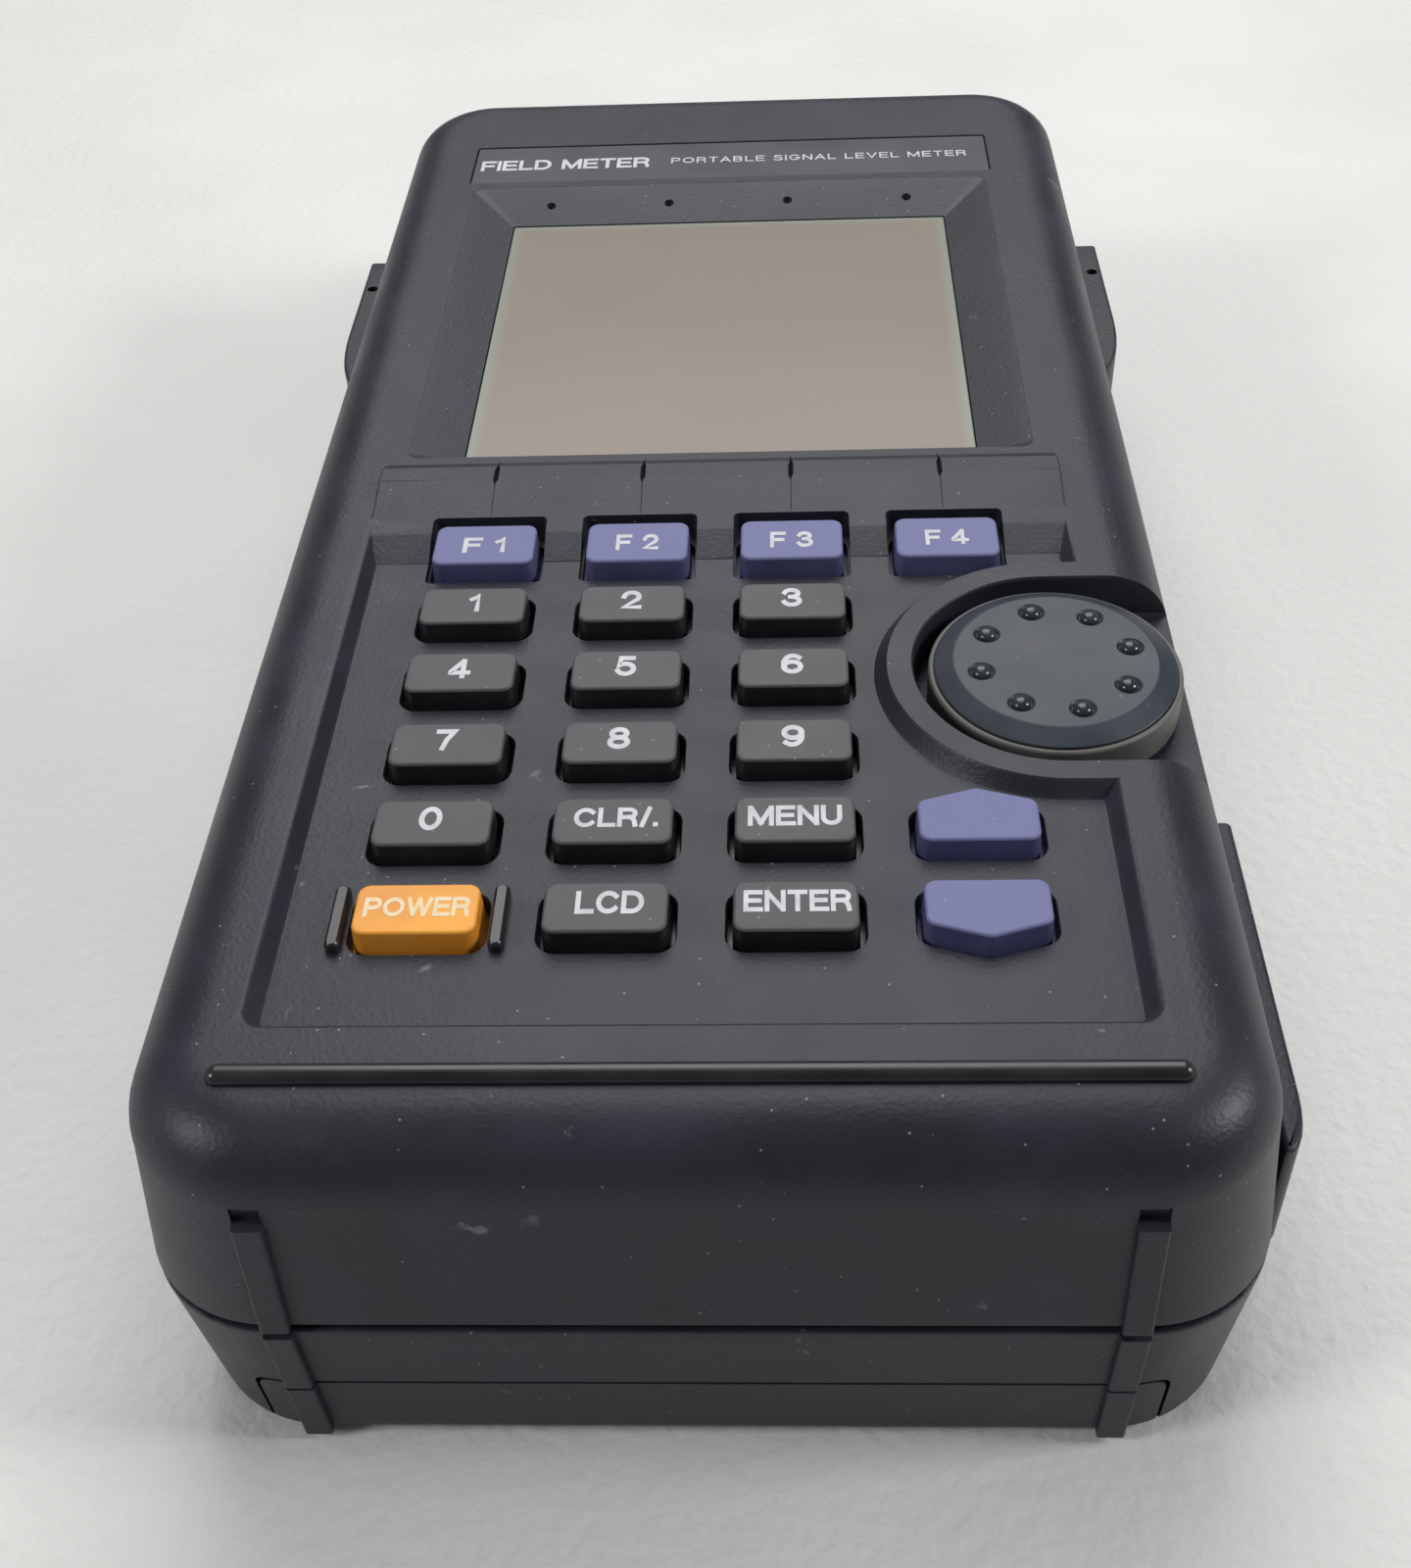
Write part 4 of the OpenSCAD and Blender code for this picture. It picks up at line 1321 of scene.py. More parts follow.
            # Counter-clockwise seen from the next ring, looking back along the ridge.
            rings = [
                [[x - half * 2, y, z + 1.2], [x + half * 2, y, z + 1.2], [x, y, z - deep]]
                for y, z, half, deep in groove
            ]
            marks.append(loft(np.array(rings)))
        return bar, together(marks)

    def lug(self) -> Solid:
        """The right-hand strap lug, with a long run-out towards the keypad.

        The run-out's edge is a quarter of an ellipse: x + reach cos a, y - run sin a.
        """
        sweep = [
            (self.lug_x + self.lug_reach * math.cos(a), self.lug_y - self.lug_run * math.sin(a))
            for a in np.radians(np.arange(80, -1, -10))
        ]
        corners = ((49.9, 32.1), (51.3, 32.1), *sweep, (55.2, 68.0), (49.9, 68.0))
        radii = (0.02, 0.2, *([1.0] * len(sweep)), 0.5, 0.02)
        body = swept(
            Outline(corners, radii, 2),
            [(-0.35, 22.7), (0, 23.05), (0, 34.6), (-0.1, 34.87), (-0.4, 35.0)],
        )
        hole = turned(self.lug_hole, [(self.lug_hole_r, 20), (self.lug_hole_r, 40)], steps=24)
        return carved("lug", body, [(Work.CUT, hole)])

    def top(self) -> bpy.types.Object:
        """The upper shell with everything cut into it and moulded on it."""
        base = self.part_z + self.seam / 2
        hollow = self.upper(self.wall, self.ceiling_z, base - 1)
        housing = carved(
            "housing",
            self.dial_u(self.pocket_r + 1.8, [(0, 37.7), (0, 43)]),
            [(Work.KEEP, self.upper(0.5, self.height - 0.5, base))],
        )
        through, shallow = self.key_pockets()
        ridge, marks = self.ridge()
        boss = [(self.boss_r, base), (self.boss_r, 42)]
        bosses = [turned(xy, boss, steps=32) for xy in self.screws]
        pocket = self.dial_u(
            self.pocket_r,
            [
                (-0.3, self.pocket_z),
                (0, self.pocket_z + 0.35),
                (0, self.height - 0.4),
                (0.12, self.height - 0.12),
                (0.26, self.height + 0.02),
                (0.26, self.height + 3),
            ],
        )
        strip = swept(
            STRIP.plan(0, 0.5, 4), [(0, self.strip_z), (0, 44.9), (0.12, 45.02), (0.12, 46)]
        )
        dimple = [(0.02, 42.9), (0.45, 43.05), (0.68, 43.5), (0.75, 46)]
        dimples = [turned((x, self.dimple_y), dimple, steps=20) for x in KEY_COLUMNS]
        notches = [
            block(
                (s * self.rib_x - self.rib_w / 2, -109, self.rib_top_z),
                (s * self.rib_x + self.rib_w / 2, self.notch_far_y, self.notch_top_z),
            )
            for s in (-1, 1)
        ]
        sockets = [
            turned((self.socket_z, x), [(r, 96), (r, 112)], Plane.ZX, 48)
            for x, r in self.sockets
        ]
        lug = self.lug()
        bore = turned(self.dial, [(4.55, 30), (4.55, 42)], steps=48)
        shell = carved(
            "top_shell",
            self.upper(0, self.height, base),
            [
                (Work.JOIN, self.ribs(base, self.rib_top_z)),
                (Work.CUT, hollow),
                (Work.JOIN, together(bosses)),
                (Work.JOIN, housing),
                (Work.JOIN, lug.joined(lug.mirrored())),
                (Work.CUT, self.recess()),
                (Work.JOIN, ridge),
                (Work.CUT, self.bezel()),
                (Work.CUT, strip),
                (Work.CUT, marks),
                (Work.CUT, through),
                (Work.CUT, shallow),
                (Work.CUT, pocket),
                (Work.CUT, bore),
                (Work.CUT, together(dimples)),
                (Work.CUT, together([*notches, self.port(), *sockets])),
            ],
        )
        return piece("top_shell", shell, "case", [Finish.CASE], ["top_case"])

    def door_zone(self, grow: float) -> Solid:
        """The L-shaped space of the battery door: base plate and lip on the near end.

        Args:
            grow: Clearance left round the door.

        Returns:
            The closed solid.
        """
        plate = block(
            (-self.door_half - grow, -112, -3),
            (self.door_half + grow, self.door_far_y + grow, self.door_t + grow),
        )
        lip = swept(
            Outline.rect(
                (-3, -self.door_half - grow), (self.door_lip + grow, self.door_half + grow), 1.9
            ),
            [(0, -112), (0, self.door_inner_y + grow)],
            Plane.ZX,
        )
        return carved("door_zone", plate, [(Work.JOIN, lip)])

    def speaker_slots(self) -> list[Solid]:
        """Slots over the speaker, each a chord of one circle: half length sqrt(r^2 - x^2)."""
        x, y = self.speaker
        slots = []
        for i in range(-3, 4):
            along = self.slot_pitch * i
            chord = math.sqrt(self.speaker_r**2 - along**2)
            plan = Outline.rect((x + along - 0.6, y - chord), (x + along + 0.6, y + chord), 0.55)
            slots.append(swept(plan, [(0, -1), (0, 4)]))
        return slots

    def bottom(self) -> bpy.types.Object:
        """The lower shell with its battery bay."""
        top = self.part_z - self.seam / 2
        half, near, far = self.bay_half, self.bay_near_y, self.bay_far_y
        roof, wall = self.bay_top_z, self.bay_wall
        bay_out = block((-half, near, 2.6), (half, far, roof))
        bay_in = block((wall - half, near + 1.8, -2), (half - wall, far - wall, roof - wall))
        shelf = block((-50.5, -93.5, roof - wall), (50.5, far, roof))
        stand = [(self.stand_r, 1), (self.stand_r, self.stand_top_z)]
        stands = [turned((x, y), stand, steps=32) for x in (-30, 30) for y in (12, 82.5)]
        boss = [(self.boss_r, 1), (self.boss_r, top)]
        bosses = [turned(xy, boss, steps=32) for xy in self.screws]
        head, shank = self.screw_head_r, self.screw_r
        bore = [(head, -1), (head, 3), (shank, 3.01), (shank, 30)]
        drill = [turned(xy, bore, steps=40) for xy in self.screws]
        knuckles = []
        for y in self.knuckles:
            rod = [(self.knuckle_r, y - 2), (self.knuckle_r, y + 2)]
            barrel = turned(self.hinge, rod, Plane.ZX, 32)
            foot = block((49.8, y - 1.98, 13.05), (self.hinge[1], y + 1.98, 14.95))
            knuckles.append(carved("knuckle", barrel, [(Work.JOIN, foot)]))
        shell = carved(
            "bottom_shell",
            self.lower(0, 0, top),
            [
                (Work.JOIN, self.ribs(self.door_lip, top)),
                (Work.CUT, self.lower(self.wall, self.wall, top + 1)),
                (Work.JOIN, bay_out),
                (Work.JOIN, shelf),
                (Work.CUT, bay_in),
                (Work.JOIN, together([*stands, *bosses])),
                (Work.JOIN, together(knuckles)),
                (Work.CUT, self.door_zone(self.door_gap)),
                (Work.CUT, together([*drill, *self.speaker_slots(), self.port()])),
            ],
        )
        return piece("bottom_shell", shell, "case", [Finish.CASE], ["bottom_case"])

    def door(self) -> bpy.types.Object:
        """The sliding battery door, with its thumb grooves underneath."""
        inner = block((-60, self.door_inner_y, self.door_t), (60, 0, 30))
        half, grooves = self.groove_half, []
        for i in range(5):
            y = self.groove_y + self.groove_pitch * i
            plan = Outline.rect((-half, y), (half, y + self.groove_w), 0.45)
            grooves.append(swept(plan, [(0, -1), (0, 0.5)]))
        shell = carved(
            "door_shell",
            self.lower(0, 0, 20),
            [
                (Work.JOIN, self.ribs(1.25, self.door_lip)),
                (Work.KEEP, self.door_zone(0)),
                (Work.CUT, inner),
                (Work.CUT, together(grooves)),
            ],
        )
        finish = [Finish.CASE]
        return piece("door_shell", shell, "battery_door", finish, ["battery_door"])

    def side_cover(self) -> bpy.types.Object:
        """The port cover on the right, with the barrels of its hinge."""
        sweep = [
            (53.2 + 2.2 * math.cos(a), -87.4 - 6.6 * math.sin(a))
            for a in np.radians(np.arange(90, -1, -15))
        ]
        plan = Outline(
            (
                (52.8, self.cover_near_y),
                *sweep,
                (55.4, self.cover_far_y),
                (52.8, self.cover_far_y),
            ),
            (0.15, 0.2, *([1.2] * (len(sweep) - 1)), 0.7, 0.1),
            3,
        )
        leaf = swept(
            plan, [(0, 14.0), (0, 29.2), (-0.08, 29.45), (-0.25, 29.62), (-0.5, 29.7)]
        )
        rod = [(self.hinge_r, -87.4), (self.hinge_r, self.cover_far_y - 1)]
        barrel = turned(self.hinge, rod, Plane.ZX, 32)
        slots = [block((51.8, y - 2.35, 11), (56.4, y + 2.35, 15.65)) for y in self.knuckles]
        bore = turned(self.hinge, [(0.85, -96), (0.85, -52.8)], Plane.ZX, 24)
        cover = carved(
            "side_cover_leaf",
            leaf,
            [
                (Work.JOIN, barrel),
                (Work.CUT, together(slots)),
                (Work.CUT, bore),
            ],
        )
        finish = [Finish.CASE]
        return piece("side_cover_leaf", cover, "side_cover", finish, ["side_cover"])

    def bars(self) -> list[bpy.types.Object]:
        """The polished bar near the user and the two guards beside the power key.

        The bar is turned: radius r cos a at r sin a beyond each end of its straight part.

        Returns:
            Both pieces.
        """
        r, half = self.bar_r, self.bar_half
        angle = np.linspace(-math.pi / 2, math.pi / 2, 9)
        ends = [(math.cos(a), math.sin(a)) for a in angle]
        left = [(r * max(c, 0.03), -half + r * s) for c, s in ends if s <= 0.001]
        right = [(r * max(c, 0.03), half + r * s) for c, s in ends if s >= -0.001]
        bar = turned((self.bar_y, self.height), left + right, Plane.YZ, 32)
        x0, y0 = key_place(next(k for k in KEYS if k.node == "key_power"))
        guards = []
        for side in (-1, 1):
            x = x0 + side * self.guard_reach
            guards.append(
                swept(
                    Outline.rect((x - 0.75, y0 - 3.8), (x + 0.75, y0 + 4.1), 0.7),
                    [
                        (0, self.floor_z - 0.3),
                        (0, self.floor_z + 0.75),
                        (-0.1, self.floor_z + 1.02),
                        (-0.32, self.floor_z + 1.2),
                    ],
                )
            )
        return [
            piece("front_bar", bar, "case", [Finish.BAR]),
            piece("power_guards", together(guards), "case", [Finish.BAR]),
        ]


# ---- keys -------------------------------------------------------------------


def bow(
    x: float, y: float, rx: float, ry: float, start: float, stop: float, steps: int = 12
) -> list[tuple[float, float]]:
    """Points of an elliptical arc: (x + rx cos a, y + ry sin a) between two angles.

    Args:
        x: Across of its centre.
        y: Up of its centre.
        rx: Half its width.
        ry: Half its height.
        start: First angle, in degrees.
        stop: Last angle, in degrees.
        steps: How many parts it has.

    Returns:
        The points in order.
    """
    angle = np.radians(np.linspace(start, stop, steps + 1))
    return list(zip(x + rx * np.cos(angle), y + ry * np.sin(angle), strict=True))


# Each letter is a list of strokes in a cell one unit high, with its width first.
GLYPHS: dict[str, tuple[float, list[list[tuple[float, float]]]]] = {
    "0": (0.84, [bow(0.42, 0.5, 0.42, 0.5, 90, 450, 28)]),
    "1": (0.4, [[(0.0, 0.74), (0.2, 0.84), (0.32, 1.0), (0.32, 0.0)]]),
    "2": (
        0.8,
        [[*bow(0.4, 0.7, 0.38, 0.3, 175, -35), (0.03, 0.0), (0.8, 0.0)]],
    ),
    "3": (
        0.8,
        [
            [*bow(0.38, 0.76, 0.35, 0.24, 165, -90), (0.34, 0.52)],
            [(0.36, 0.52), *bow(0.4, 0.26, 0.4, 0.26, 90, -165)],
        ],
    ),
    "4": (0.86, [[(0.86, 0.24), (0.0, 0.24), (0.0, 0.34), (0.56, 1.0)], [(0.6, 1.0), (0.6, 0.0)]]),
    "5": (
        0.8,
        [[(0.74, 1.0), (0.16, 1.0), (0.06, 0.5), *bow(0.4, 0.32, 0.4, 0.32, 125, -160)]],
    ),
    "6": (
        0.82,
        [
            bow(0.41, 0.31, 0.41, 0.31, 90, 450, 24),
            bow(0.45, 0.5, 0.45, 0.5, 50, 200),
        ],
    ),
    "7": (0.78, [[(0.0, 1.0), (0.78, 1.0), (0.46, 0.5), (0.3, 0.0)]]),
    "8": (
        0.8,
        [
            bow(0.4, 0.76, 0.34, 0.24, 0, 360, 24),
            bow(0.4, 0.27, 0.4, 0.27, 0, 360, 24),
        ],
    ),
    "9": (
        0.82,
        [
            bow(0.41, 0.69, 0.41, 0.31, 90, 450, 24),
            bow(0.37, 0.5, 0.45, 0.5, 230, 380),
        ],
    ),
    "A": (0.96, [[(0.0, 0.0), (0.48, 1.0), (0.96, 0.0)], [(0.17, 0.32), (0.79, 0.32)]]),
    "B": (
        0.84,
        [
            [(0.0, 0.0), (0.0, 1.0)],
            [(0.0, 1.0), (0.46, 1.0), *bow(0.46, 0.76, 0.3, 0.24, 90, -90), (0.0, 0.52)],
            [(0.3, 0.52), (0.48, 0.52), *bow(0.48, 0.26, 0.34, 0.26, 90, -90), (0.0, 0.0)],
        ],
    ),
    "C": (0.94, [bow(0.5, 0.5, 0.5, 0.5, 42, 318, 20)]),
    "D": (
        0.9,
        [[(0.0, 0.0), (0.0, 1.0), (0.4, 1.0), *bow(0.4, 0.5, 0.5, 0.5, 90, -90), (0.0, 0.0)]],
    ),
    "E": (
        0.76,
        [[(0.76, 1.0), (0.0, 1.0), (0.0, 0.0), (0.78, 0.0)], [(0.0, 0.52), (0.7, 0.52)]],
    ),
    "F": (0.74, [[(0.76, 1.0), (0.0, 1.0), (0.0, 0.0)], [(0.0, 0.5), (0.66, 0.5)]]),
    "G": (
        1.0,
        [[*bow(0.5, 0.5, 0.5, 0.5, 45, 350, 20), (0.99, 0.46), (0.58, 0.46)]],
    ),
    "H": (0.84, [[(0, 0), (0, 1)], [(0.84, 0), (0.84, 1)], [(0, 0.52), (0.84, 0.52)]]),
    "I": (0.0, [[(0.0, 0.0), (0.0, 1.0)]]),
    "L": (0.7, [[(0.0, 1.0), (0.0, 0.0), (0.72, 0.0)]]),
    "M": (
        1.1,
        [
            [(0.0, 0.0), (0.0, 1.0)],
            [(1.1, 0.0), (1.1, 1.0)],
            [(0.06, 0.96), (0.55, 0.06)],
            [(1.04, 0.96), (0.55, 0.06)],
        ],
    ),
    "N": (0.86, [[(0, 0), (0, 1)], [(0.86, 0), (0.86, 1)], [(0.04, 0.96), (0.82, 0.04)]]),
    "O": (1.06, [bow(0.53, 0.5, 0.53, 0.5, 90, 450, 28)]),
    "P": (
        0.8,
        [
            [(0.0, 0.0), (0.0, 1.0)],
            [(0.0, 1.0), (0.5, 1.0), *bow(0.5, 0.73, 0.3, 0.27, 90, -90), (0.0, 0.46)],
        ],
    ),
    "R": (
        0.86,
        [
            [(0.0, 0.0), (0.0, 1.0)],
            [(0.0, 1.0), (0.5, 1.0), *bow(0.5, 0.75, 0.32, 0.25, 90, -90), (0.0, 0.5)],
            [(0.5, 0.5), (0.72, 0.42), (0.8, 0.2), (0.84, 0.0)],
        ],
    ),
    "S": (
        0.82,
        [
            [
                *bow(0.42, 0.76, 0.36, 0.24, 20, 180),
                *bow(0.42, 0.74, 0.36, 0.2, 190, 245, 4),
                *bow(0.42, 0.28, 0.4, 0.24, 65, 0, 4),
                *bow(0.42, 0.26, 0.4, 0.26, -10, -165),
            ]
        ],
    ),
    "T": (0.8, [[(0.0, 1.0), (0.8, 1.0)], [(0.4, 1.0), (0.4, 0.0)]]),
    "U": (0.84, [[(0.0, 1.0), *bow(0.42, 0.36, 0.42, 0.36, 180, 360), (0.84, 1.0)]]),
    "V": (0.9, [[(0.0, 1.0), (0.45, 0.0), (0.9, 1.0)]]),
    "W": (
        1.3,
        [
            [(0.0, 1.0), (0.32, 0.03)],
            [(0.65, 0.97), (0.33, 0.03)],
            [(0.65, 0.97), (0.97, 0.03)],
            [(1.3, 1.0), (0.98, 0.03)],
        ],
    ),
    "Y": (0.9, [[(0.0, 1.0), (0.45, 0.48), (0.9, 1.0)], [(0.45, 0.48), (0.45, 0.0)]]),
    "/": (0.36, [[(0.0, -0.04), (0.36, 1.04)]]),
    ".": (0.0, [[(0.0, 0.0), (0.0, 0.02)]]),
    " ": (0.24, []),
}


def stroke(path: Sequence[tuple[float, float]], weight: float) -> np.ndarray:
    """A pen stroke of even weight along a path, mitred where the path turns.

    Each point of the path becomes two, half the weight to either side of it along the
    bisector of the turn there; ends are square and reach half the weight further where
    the path is open.

    Args:
        path: Points of the path.
        weight: Width of the stroke.

    Returns:
        Array of shape (points, 2, 2): the left and right point at each place.
    """
    line = np.asarray(path, float)
    step = np.diff(line, axis=0)
    line = line[np.r_[True, np.hypot(*step.T) > 1e-6]]
    closed = np.hypot(*(line[0] - line[-1])) < 1e-6
    way = np.diff(line, axis=0)
    way /= np.linalg.norm(way, axis=1, keepdims=True)
    if not closed:
        line[0] -= way[0] * weight / 2
        line[-1] += way[-1] * weight / 2
    first = way[-1] if closed else way[0]
    last = way[0] if closed else way[-1]
    before, after = np.vstack([first, way]), np.vstack([way, last])
    left = np.stack([-before[:, 1], before[:, 0]], 1)
    other = np.stack([-after[:, 1], after[:, 0]], 1)
    share = np.maximum(1 + (left * other).sum(1), 0.45)[:, None]
    side = (left + other) / share * weight / 2
    return np.stack([line + side, line - side], 1)


def lettering(
    text: str, width: float, height: float, thick: float, weight: float, gap: float = 0.36
) -> Solid:
    """Letters as thin solids, centred on the origin and scaled to a width and height.

    Args:
        text: What to write.
        width: Width over the whole text.
        height: Height of a capital.
        thick: Thickness of the ink.
        weight: Width of a stroke as a share of the letter height.
        gap: Space between letters as a share of the letter height.

    Returns:
        The letters as one solid.
    """
    solids, pen = [], 0.0
    for letter in text:
        wide, paths = GLYPHS[letter]
        for layer, path in enumerate(paths):
            ribbon = stroke([(x + pen, y) for x, y in path], weight)
            top = 1.0 - 0.12 * layer
            count = len(ribbon)
            flat = ribbon.transpose(1, 0, 2).reshape(-1, 2)
            points = np.vstack(
                [np.column_stack([flat, np.full(2 * count, z)]) for z in (0.0, top)]
            )
            i = np.arange(count - 1)
            left, right, up = i, i + count, 2 * count
            quads = [
                (right, right + 1, left + 1, left),
                (left + up, left + 1 + up, right + 1 + up, right + up),
                (left, left + 1, left + 1 + up, left + up),
                (right + 1, right, right + up, right + 1 + up),
            ]
            faces = [tuple(f) for q in quads for f in np.stack(q, 1).tolist()]
            end = count - 1
            if not np.allclose(ribbon[0], ribbon[-1]):
                faces.append((count, 0, up, count + up))
                faces.append((end, end + count, end + count + up, end + up))
            solids.append(Solid(points, [f[::-1] for f in faces]))
        pen += wide + gap
    whole = together(solids)
    low, high = whole.points.min(0), whole.points.max(0)
    scale = np.array([width, height, thick]) / (high - low)
    centre = (low + high) / 2 * (1, 1, 0)
    return Solid((whole.points - centre) * scale, whole.faces)


@dataclass
class Keypad:
    """All the keys with their legends."""

    case: Case
    rise: float = 0.5
    flange_z: float = 40.75
    flange: float = 1.45
    brow: float = 0.32
    plunger_r: float = 1.5
    plunger_z: float = 38.55
    ink: float = 0.08
    ink_weight: float = 0.26

    def build(self) -> list[bpy.types.Object]:
        """Makes every key."""
        return [self.key(spec) for spec in KEYS]

    def key(self, spec: KeySpec) -> bpy.types.Object:
        """One key: flange, leaning sides, a rounded brow, a faintly hollow top, a plunger.

        Args:
            spec: The key.

        Returns:
            The piece.
        """
        plan = KeySize().outline(spec.shape)
        top = self.case.height + self.rise
        rows: list[tuple[float, ...]] = [
            (self.flange, self.flange_z - 1),
            (self.flange, self.flange_z),
            (0.2, self.flange_z + 0.02),
            (0.16, self.case.floor_z),
            (0.06, top - 0.35),
        ]
        side_rows = len(rows)
        rows += [(0.06 - i, top - 0.35 + u) for i, u in quarter(self.brow, 5, 0.1)]
        rows += [(-0.9, top - 0.03), (-1.5, top - 0.05), (-2.4, top - 0.06)]
        body = swept(plan, rows)
        sides = len(plan.at())
        finish = np.zeros(len(body.faces), int)
        finish[: side_rows * sides] = 1
        finish[(len(rows) - 1) * sides] = 1
        stem = [(self.plunger_r, self.plunger_z), (self.plunger_r, self.flange_z - 0.9)]
        plunger = turned((0, 0), stem, steps=32)
        parts, marks = [plunger], [np.ones(len(plunger.faces), int)]
        if spec.legend:
            size = (spec.legend_w, spec.legend_h, self.ink)
            ink = lettering(spec.legend, *size, self.ink_weight)
            parts.append(ink.moved(spec.dx, spec.dy, top - 0.09))
            marks.append(np.full(len(ink.faces), 2))
        whole = body.joined(*parts)
        x, y = key_place(spec)
        return piece(
            spec.node.replace("key_", "cap_"),
            whole.moved(x, y),
            "press_" + spec.node[4:],
            [spec.top, spec.side, spec.ink],
            [spec.node],
            40,
            np.concatenate([finish, *marks]),
        )


# ---- dial -------------------------------------------------------------------


@dataclass
class Dial:
    """The jog dial: satin cap with eight glossy bumps, and a rubber ring round it."""

    centre: tuple[float, float]
    outer_r: float = 13.3
    ring_wall: float = 0.6
    inner_r: float = 12.1
    flat_r: float = 10.6
    foot_z: float = 40.3
    cap_z: float = 44.0
    ring_z: float = 44.3
    top_z: float = 45.6
    bumps: int = 8
    bump_start_deg: float = 103
    bump_ring_r: float = 8.15
    bump_r: float = 1.05

    def cap(self) -> bpy.types.Object:
        """The cap: flat disc, a sloping brow down to the ring, and its underside.

        Bump k lies at the start angle less k parts of a turn, in a dished dip. It is a dome:
        radius r cos t at height h sin t.

        Returns:
            The piece.
        """
        z = self.top_z
        rim, flat = self.outer_r - self.ring_wall, self.flat_r
        profile = [
            (0.3, self.cap_z),
            (self.inner_r, self.cap_z),
            (self.inner_r, self.ring_z),
            (rim - 0.06, self.ring_z),
            (rim, self.ring_z + 0.06),
            (rim, 44.52),
            (rim - 0.12, 44.62),
            (flat + 0.28, z - 0.12),
            (flat + 0.12, z - 0.03),
            (flat - 0.1, z),
            (0.3, z),
        ]
        dip = [(0.5, z - 0.3), (1.12, z - 0.26), (1.34, z - 0.1), (1.5, z + 0.02), (1.5, z + 1)]
        dome = [(self.bump_r, z - 0.6), (self.bump_r, z - 0.22)]
        dome += [
            (self.bump_r * math.cos(t) + 0.01, z - 0.22 + 0.78 * math.sin(t))
            for t in np.radians(np.arange(12, 91, 13))
        ]
        dips, domes = [], []
        for k in range(self.bumps):
            a = math.radians(self.bump_start_deg - 360 / self.bumps * k)
            x = self.centre[0] + self.bump_ring_r * math.cos(a)
            y = self.centre[1] + self.bump_ring_r * math.sin(a)
            dips.append(turned((x, y), dip, steps=32))
            domes.append(turned((x, y), dome, steps=28))
        shell = carved("dial_cap", turned(self.centre, profile), [(Work.CUT, together(dips))])
        bumps = together(domes)
        return piece(
            "dial_top",
            shell.joined(bumps),
            "dial",
            [Finish.DIAL, Finish.BUMP],
            ["dial_cap"],
            30,
            np.repeat([0, 1], [len(shell.faces), len(bumps.faces)]),
        )

    def ring(self) -> bpy.types.Object:
        """The rubber ring: straight side with a rolled top lip."""
        out, rim = self.outer_r, self.outer_r - self.ring_wall
        profile = [
            (self.inner_r, self.foot_z),
            (out - 0.15, self.foot_z),
            (out, self.foot_z + 0.15),
            (out, self.ring_z - 0.4),
            (out - 0.04, self.ring_z - 0.2),
            (out - 0.16, self.ring_z - 0.04),
            (out - 0.32, self.ring_z),
            (rim + 0.12, self.ring_z - 0.02),
            (rim + 0.03, self.ring_z - 0.14),
            (self.inner_r, self.ring_z - 0.2),
        ]
        tyre = turned(self.centre, profile, looped=True)
        return piece("dial_tyre", tyre, "dial", [Finish.RING], ["dial_ring"], 40)


# ---- display and labels -----------------------------------------------------


@dataclass
class Display:
    """The lens over the display, and the name strip beyond it."""

    top_z: float = 42.4
    gap: float = 0.1
    strip_z: float = 44.4
    strip_gap: float = 0.15
    ink: float = 0.06

    def lens(self) -> bpy.types.Object:
        """A clear lens with a broken edge, on a wider plate under the panel."""
        z = self.top_z
        top = swept(
            WINDOW.plan(self.gap, 0.3, 4),
            [(0, 41.0), (0, z - 0.15), (-0.06, z - 0.04), (-0.2, z)],
        )
        plate = block((-33.9, -1.55, 39.7), (33.9, 65.65, 41.1))
        lens = carved("lens", plate, [(Work.JOIN, top)])
        return piece("display_lens", lens, "case", [Finish.SCREEN], ["display_window"])

    def strip(self) -> list[bpy.types.Object]:
        """The printed strip, with generic words."""
        z = self.strip_z
        plan = STRIP.plan(self.strip_gap, 0.4, 4)
        label = swept(plan, [(0, z), (0, z + 0.42), (-0.03, z + 0.45)])
        bold = lettering("FIELD METER", 26.0, 3.4, self.ink, 0.24)
        fine = lettering("PORTABLE SIGNAL LEVEL METER", 45.0, 2.1, self.ink, 0.17, 0.44)
        words = bold.moved(-25.2, 79.0, z + 0.43).joined(fine.moved(13.6, 79.3, z + 0.43))
        return [
            piece("name_label", label, "case", [Finish.LABEL], ["name_strip"]),
            piece("name_words", words, "case", [Finish.INK]),
        ]


# ---- what keeps its CAD shape -----------------------------------------------


CAD_FINISH: dict[str, Finish] = {
    "case_seal": Finish.SEAL,
    "side_cover_pin": Finish.STEEL,
    "dial_hub": Finish.SOCKET,
    "dial_encoder": Finish.TIN,
    "lcd_module": Finish.LCD,
    "lcd_frame": Finish.TIN,
    "keypad_mat": Finish.MAT,
    "keypad_board": Finish.BOARD,
    "main_board": Finish.BOARD,
    "tuner_module": Finish.TIN,
    "tuner_lid": Finish.TIN,
    "speaker": Finish.SPEAKER,
    "battery_cells": Finish.CELL,
    "battery_contacts": Finish.BRASS,
    "aerial_socket": Finish.NICKEL,
    "aerial_nut": Finish.NICKEL,
    "earphone_socket": Finish.SOCKET,
    "charger_socket": Finish.SOCKET,
    "serial_socket": Finish.NICKEL,
    "case_screws": Finish.STEEL,
    "board_screws": Finish.STEEL,
}


def dress_frame(nodes: dict[str, bpy.types.Object]) -> None:
    """Gives every CAD node that still shows its finish."""
    for name, finish in CAD_FINISH.items():
        mesh = nodes[name].data
        mesh.materials.clear()
        mesh.materials.append(finish.material())


# ---- studio -----------------------------------------------------------------


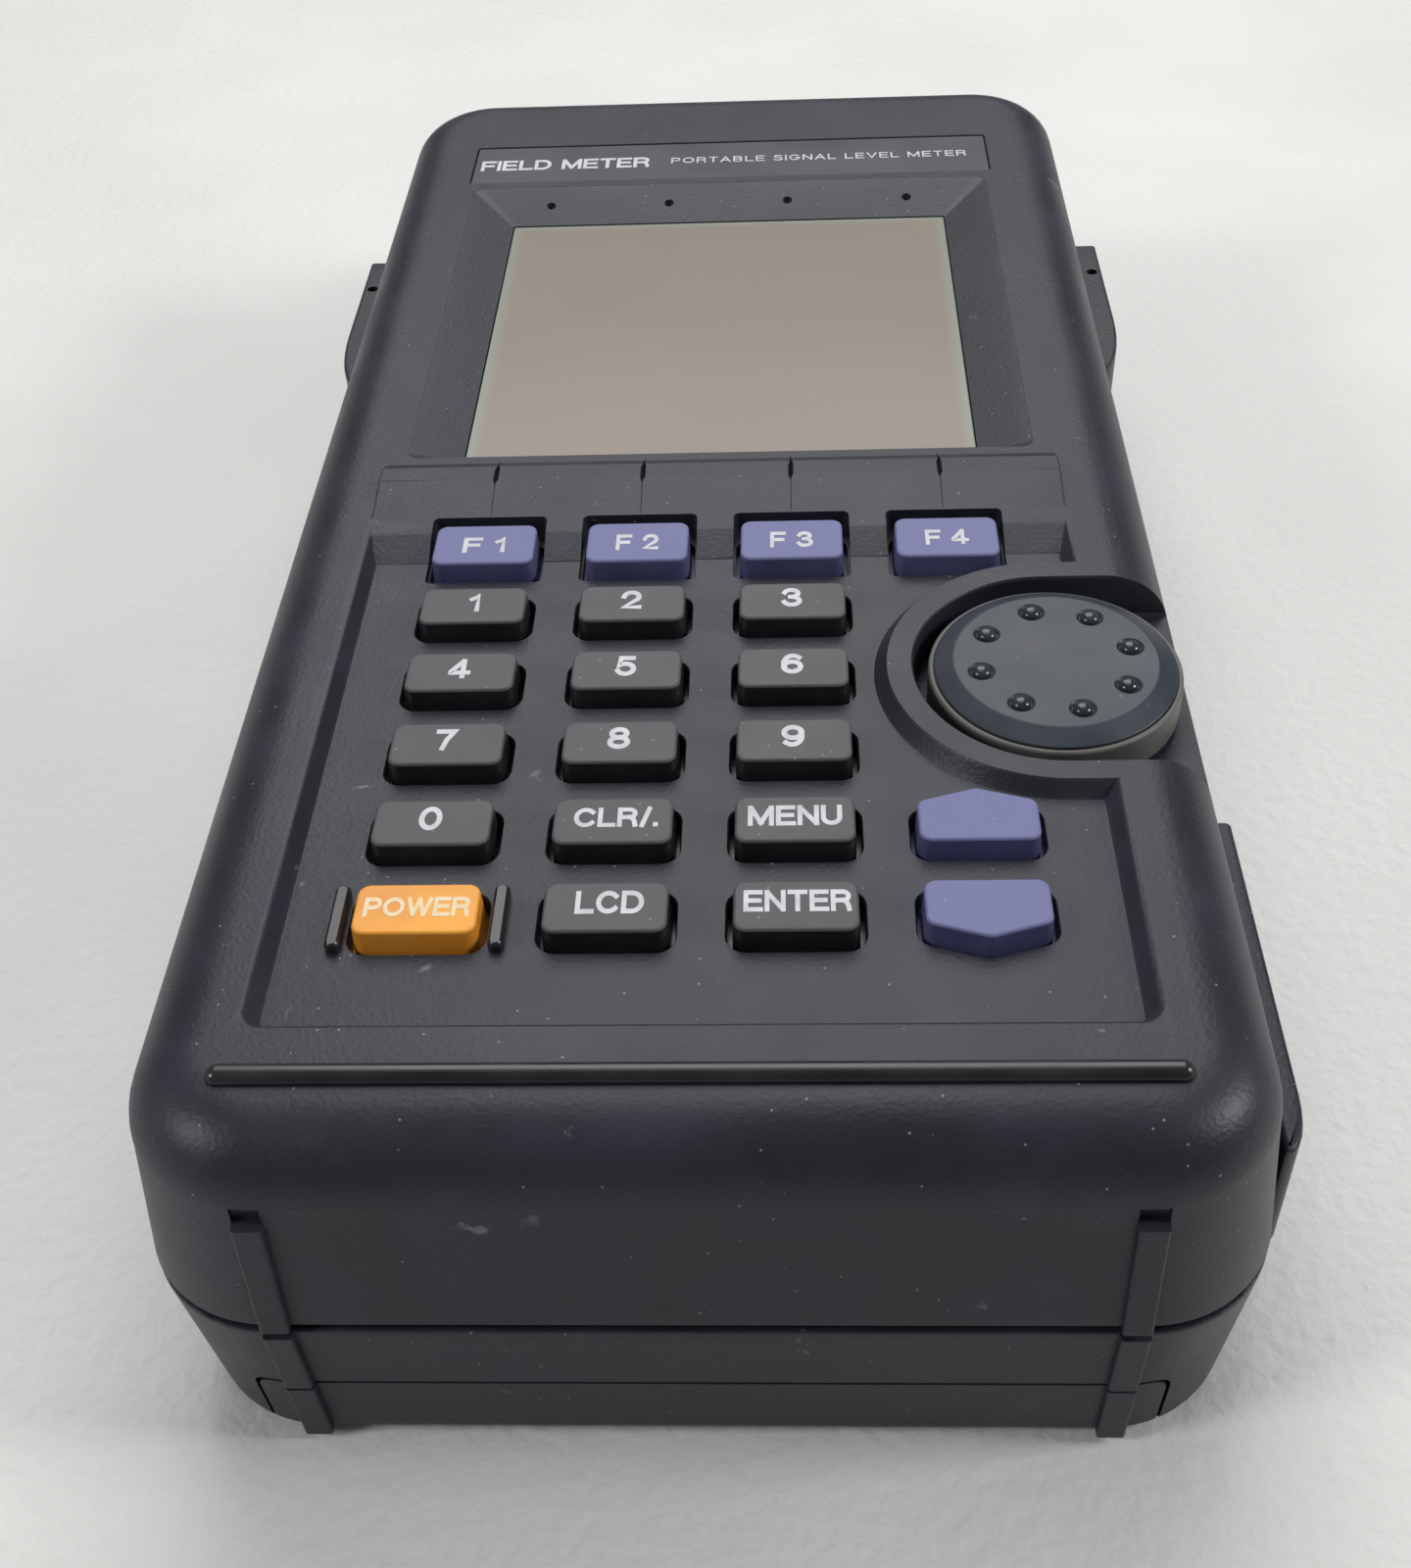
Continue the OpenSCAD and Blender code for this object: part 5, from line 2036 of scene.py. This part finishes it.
@dataclass
class Studio:
    """Floor, soft lights and the camera."""

    eye: tuple[float, float, float] = (8.68, -196.68, 172.23)
    look: tuple[float, float, float] = (-0.0465, 0.7289, -0.6831)
    up: tuple[float, float, float] = (0.0115, 0.6842, 0.7292)
    lens_mm: float = 43.2
    floor_half_m: float = 3
    aim: tuple[float, float, float] = (0, 0, 0.03)

    def camera(self) -> None:
        """Places the camera with its axes along look and up."""
        back = -Vector(self.look).normalized()
        right = Vector(self.up).cross(back).normalized()
        upward = back.cross(right)
        data = bpy.data.cameras.new("camera")
        data.lens, data.sensor_width = self.lens_mm, 36
        data.clip_start, data.clip_end = 0.01, 10
        made = bpy.data.objects.new("camera", data)
        bpy.context.scene.collection.objects.link(made)
        turn = Matrix((right, upward, back)).transposed().to_4x4()
        made.matrix_world = Matrix.Translation(Vector(self.eye) * MM) @ turn
        bpy.context.scene.camera = made

    def floor(self) -> None:
        """A pale floor of foam sheet, with the fine lumps of its skin."""
        mesh = bpy.data.meshes.new("floor")
        f = self.floor_half_m
        mesh.from_pydata([(-f, -f, 0), (f, -f, 0), (f, f, 0), (-f, f, 0)], [], [(0, 1, 2, 3)])
        # Foamed polyethylene sheet: white, matt, and lumpy enough to catch a low light.
        finish = Moulded(
            "pale_foam_sheet",
            "#d8d7d4",
            roughness=0.6,
            grain_mm=2.1,
            grain_depth_mm=0.3,
            haze="#e1e0dd",
            haze_mm=60,
            haze_share=0.4,
        )
        mesh.materials.append(finish.build())
        made = bpy.data.objects.new("floor", mesh)
        bpy.context.scene.collection.objects.link(made)

    def light(
        self, name: str, place: Sequence[float], size: float, watts: float
    ) -> None:
        """A square soft light that points at the object.

        Args:
            name: The light's name.
            place: Where it stands, in metres.
            size: Its side, in metres.
            watts: Its power.
        """
        data = bpy.data.lights.new(name, "AREA")
        data.shape, data.size, data.energy = "SQUARE", size, watts
        made = bpy.data.objects.new(name, data)
        bpy.context.scene.collection.objects.link(made)
        aim = (Vector(self.aim) - Vector(place)).to_track_quat("-Z", "Y")
        made.matrix_world = Matrix.Translation(place) @ aim.to_matrix().to_4x4()

    def build(self) -> None:
        """Sets up the whole studio."""
        self.camera()
        self.floor()
        self.light("window", (0.0, 0.66, 0.88), size=0.85, watts=8.2)
        self.light("ceiling", (0.0, 0.2, 1.2), size=0.6, watts=1.2)
        self.light("left_lamp", (-0.76, -0.38, 0.6), size=0.22, watts=3.4)
        self.light("right_lamp", (0.84, -0.12, 0.55), size=0.24, watts=4.6)
        world = bpy.data.worlds.new("studio")
        world.use_nodes = True
        sky = world.node_tree.nodes["Background"].inputs
        sky["Color"].default_value = linear("#dfe1e6")
        sky["Strength"].default_value = 0.2
        bpy.context.scene.world = world
        bpy.context.scene.view_settings.view_transform = "Standard"


def main() -> None:
    """Builds the meter piece by piece."""
    logging.basicConfig(level=logging.INFO, format="%(name)s %(message)s")
    for item in list(bpy.data.objects):
        bpy.data.objects.remove(item)
    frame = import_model()
    Studio().build()
    case = Case()
    case.top()
    case.bottom()
    case.door()
    case.side_cover()
    case.bars()
    Keypad(case).build()
    dial = Dial(case.dial)
    dial.cap()
    dial.ring()
    display = Display()
    display.lens()
    display.strip()
    dress_frame(frame["nodes"])


if __name__ == "__main__":
    main()
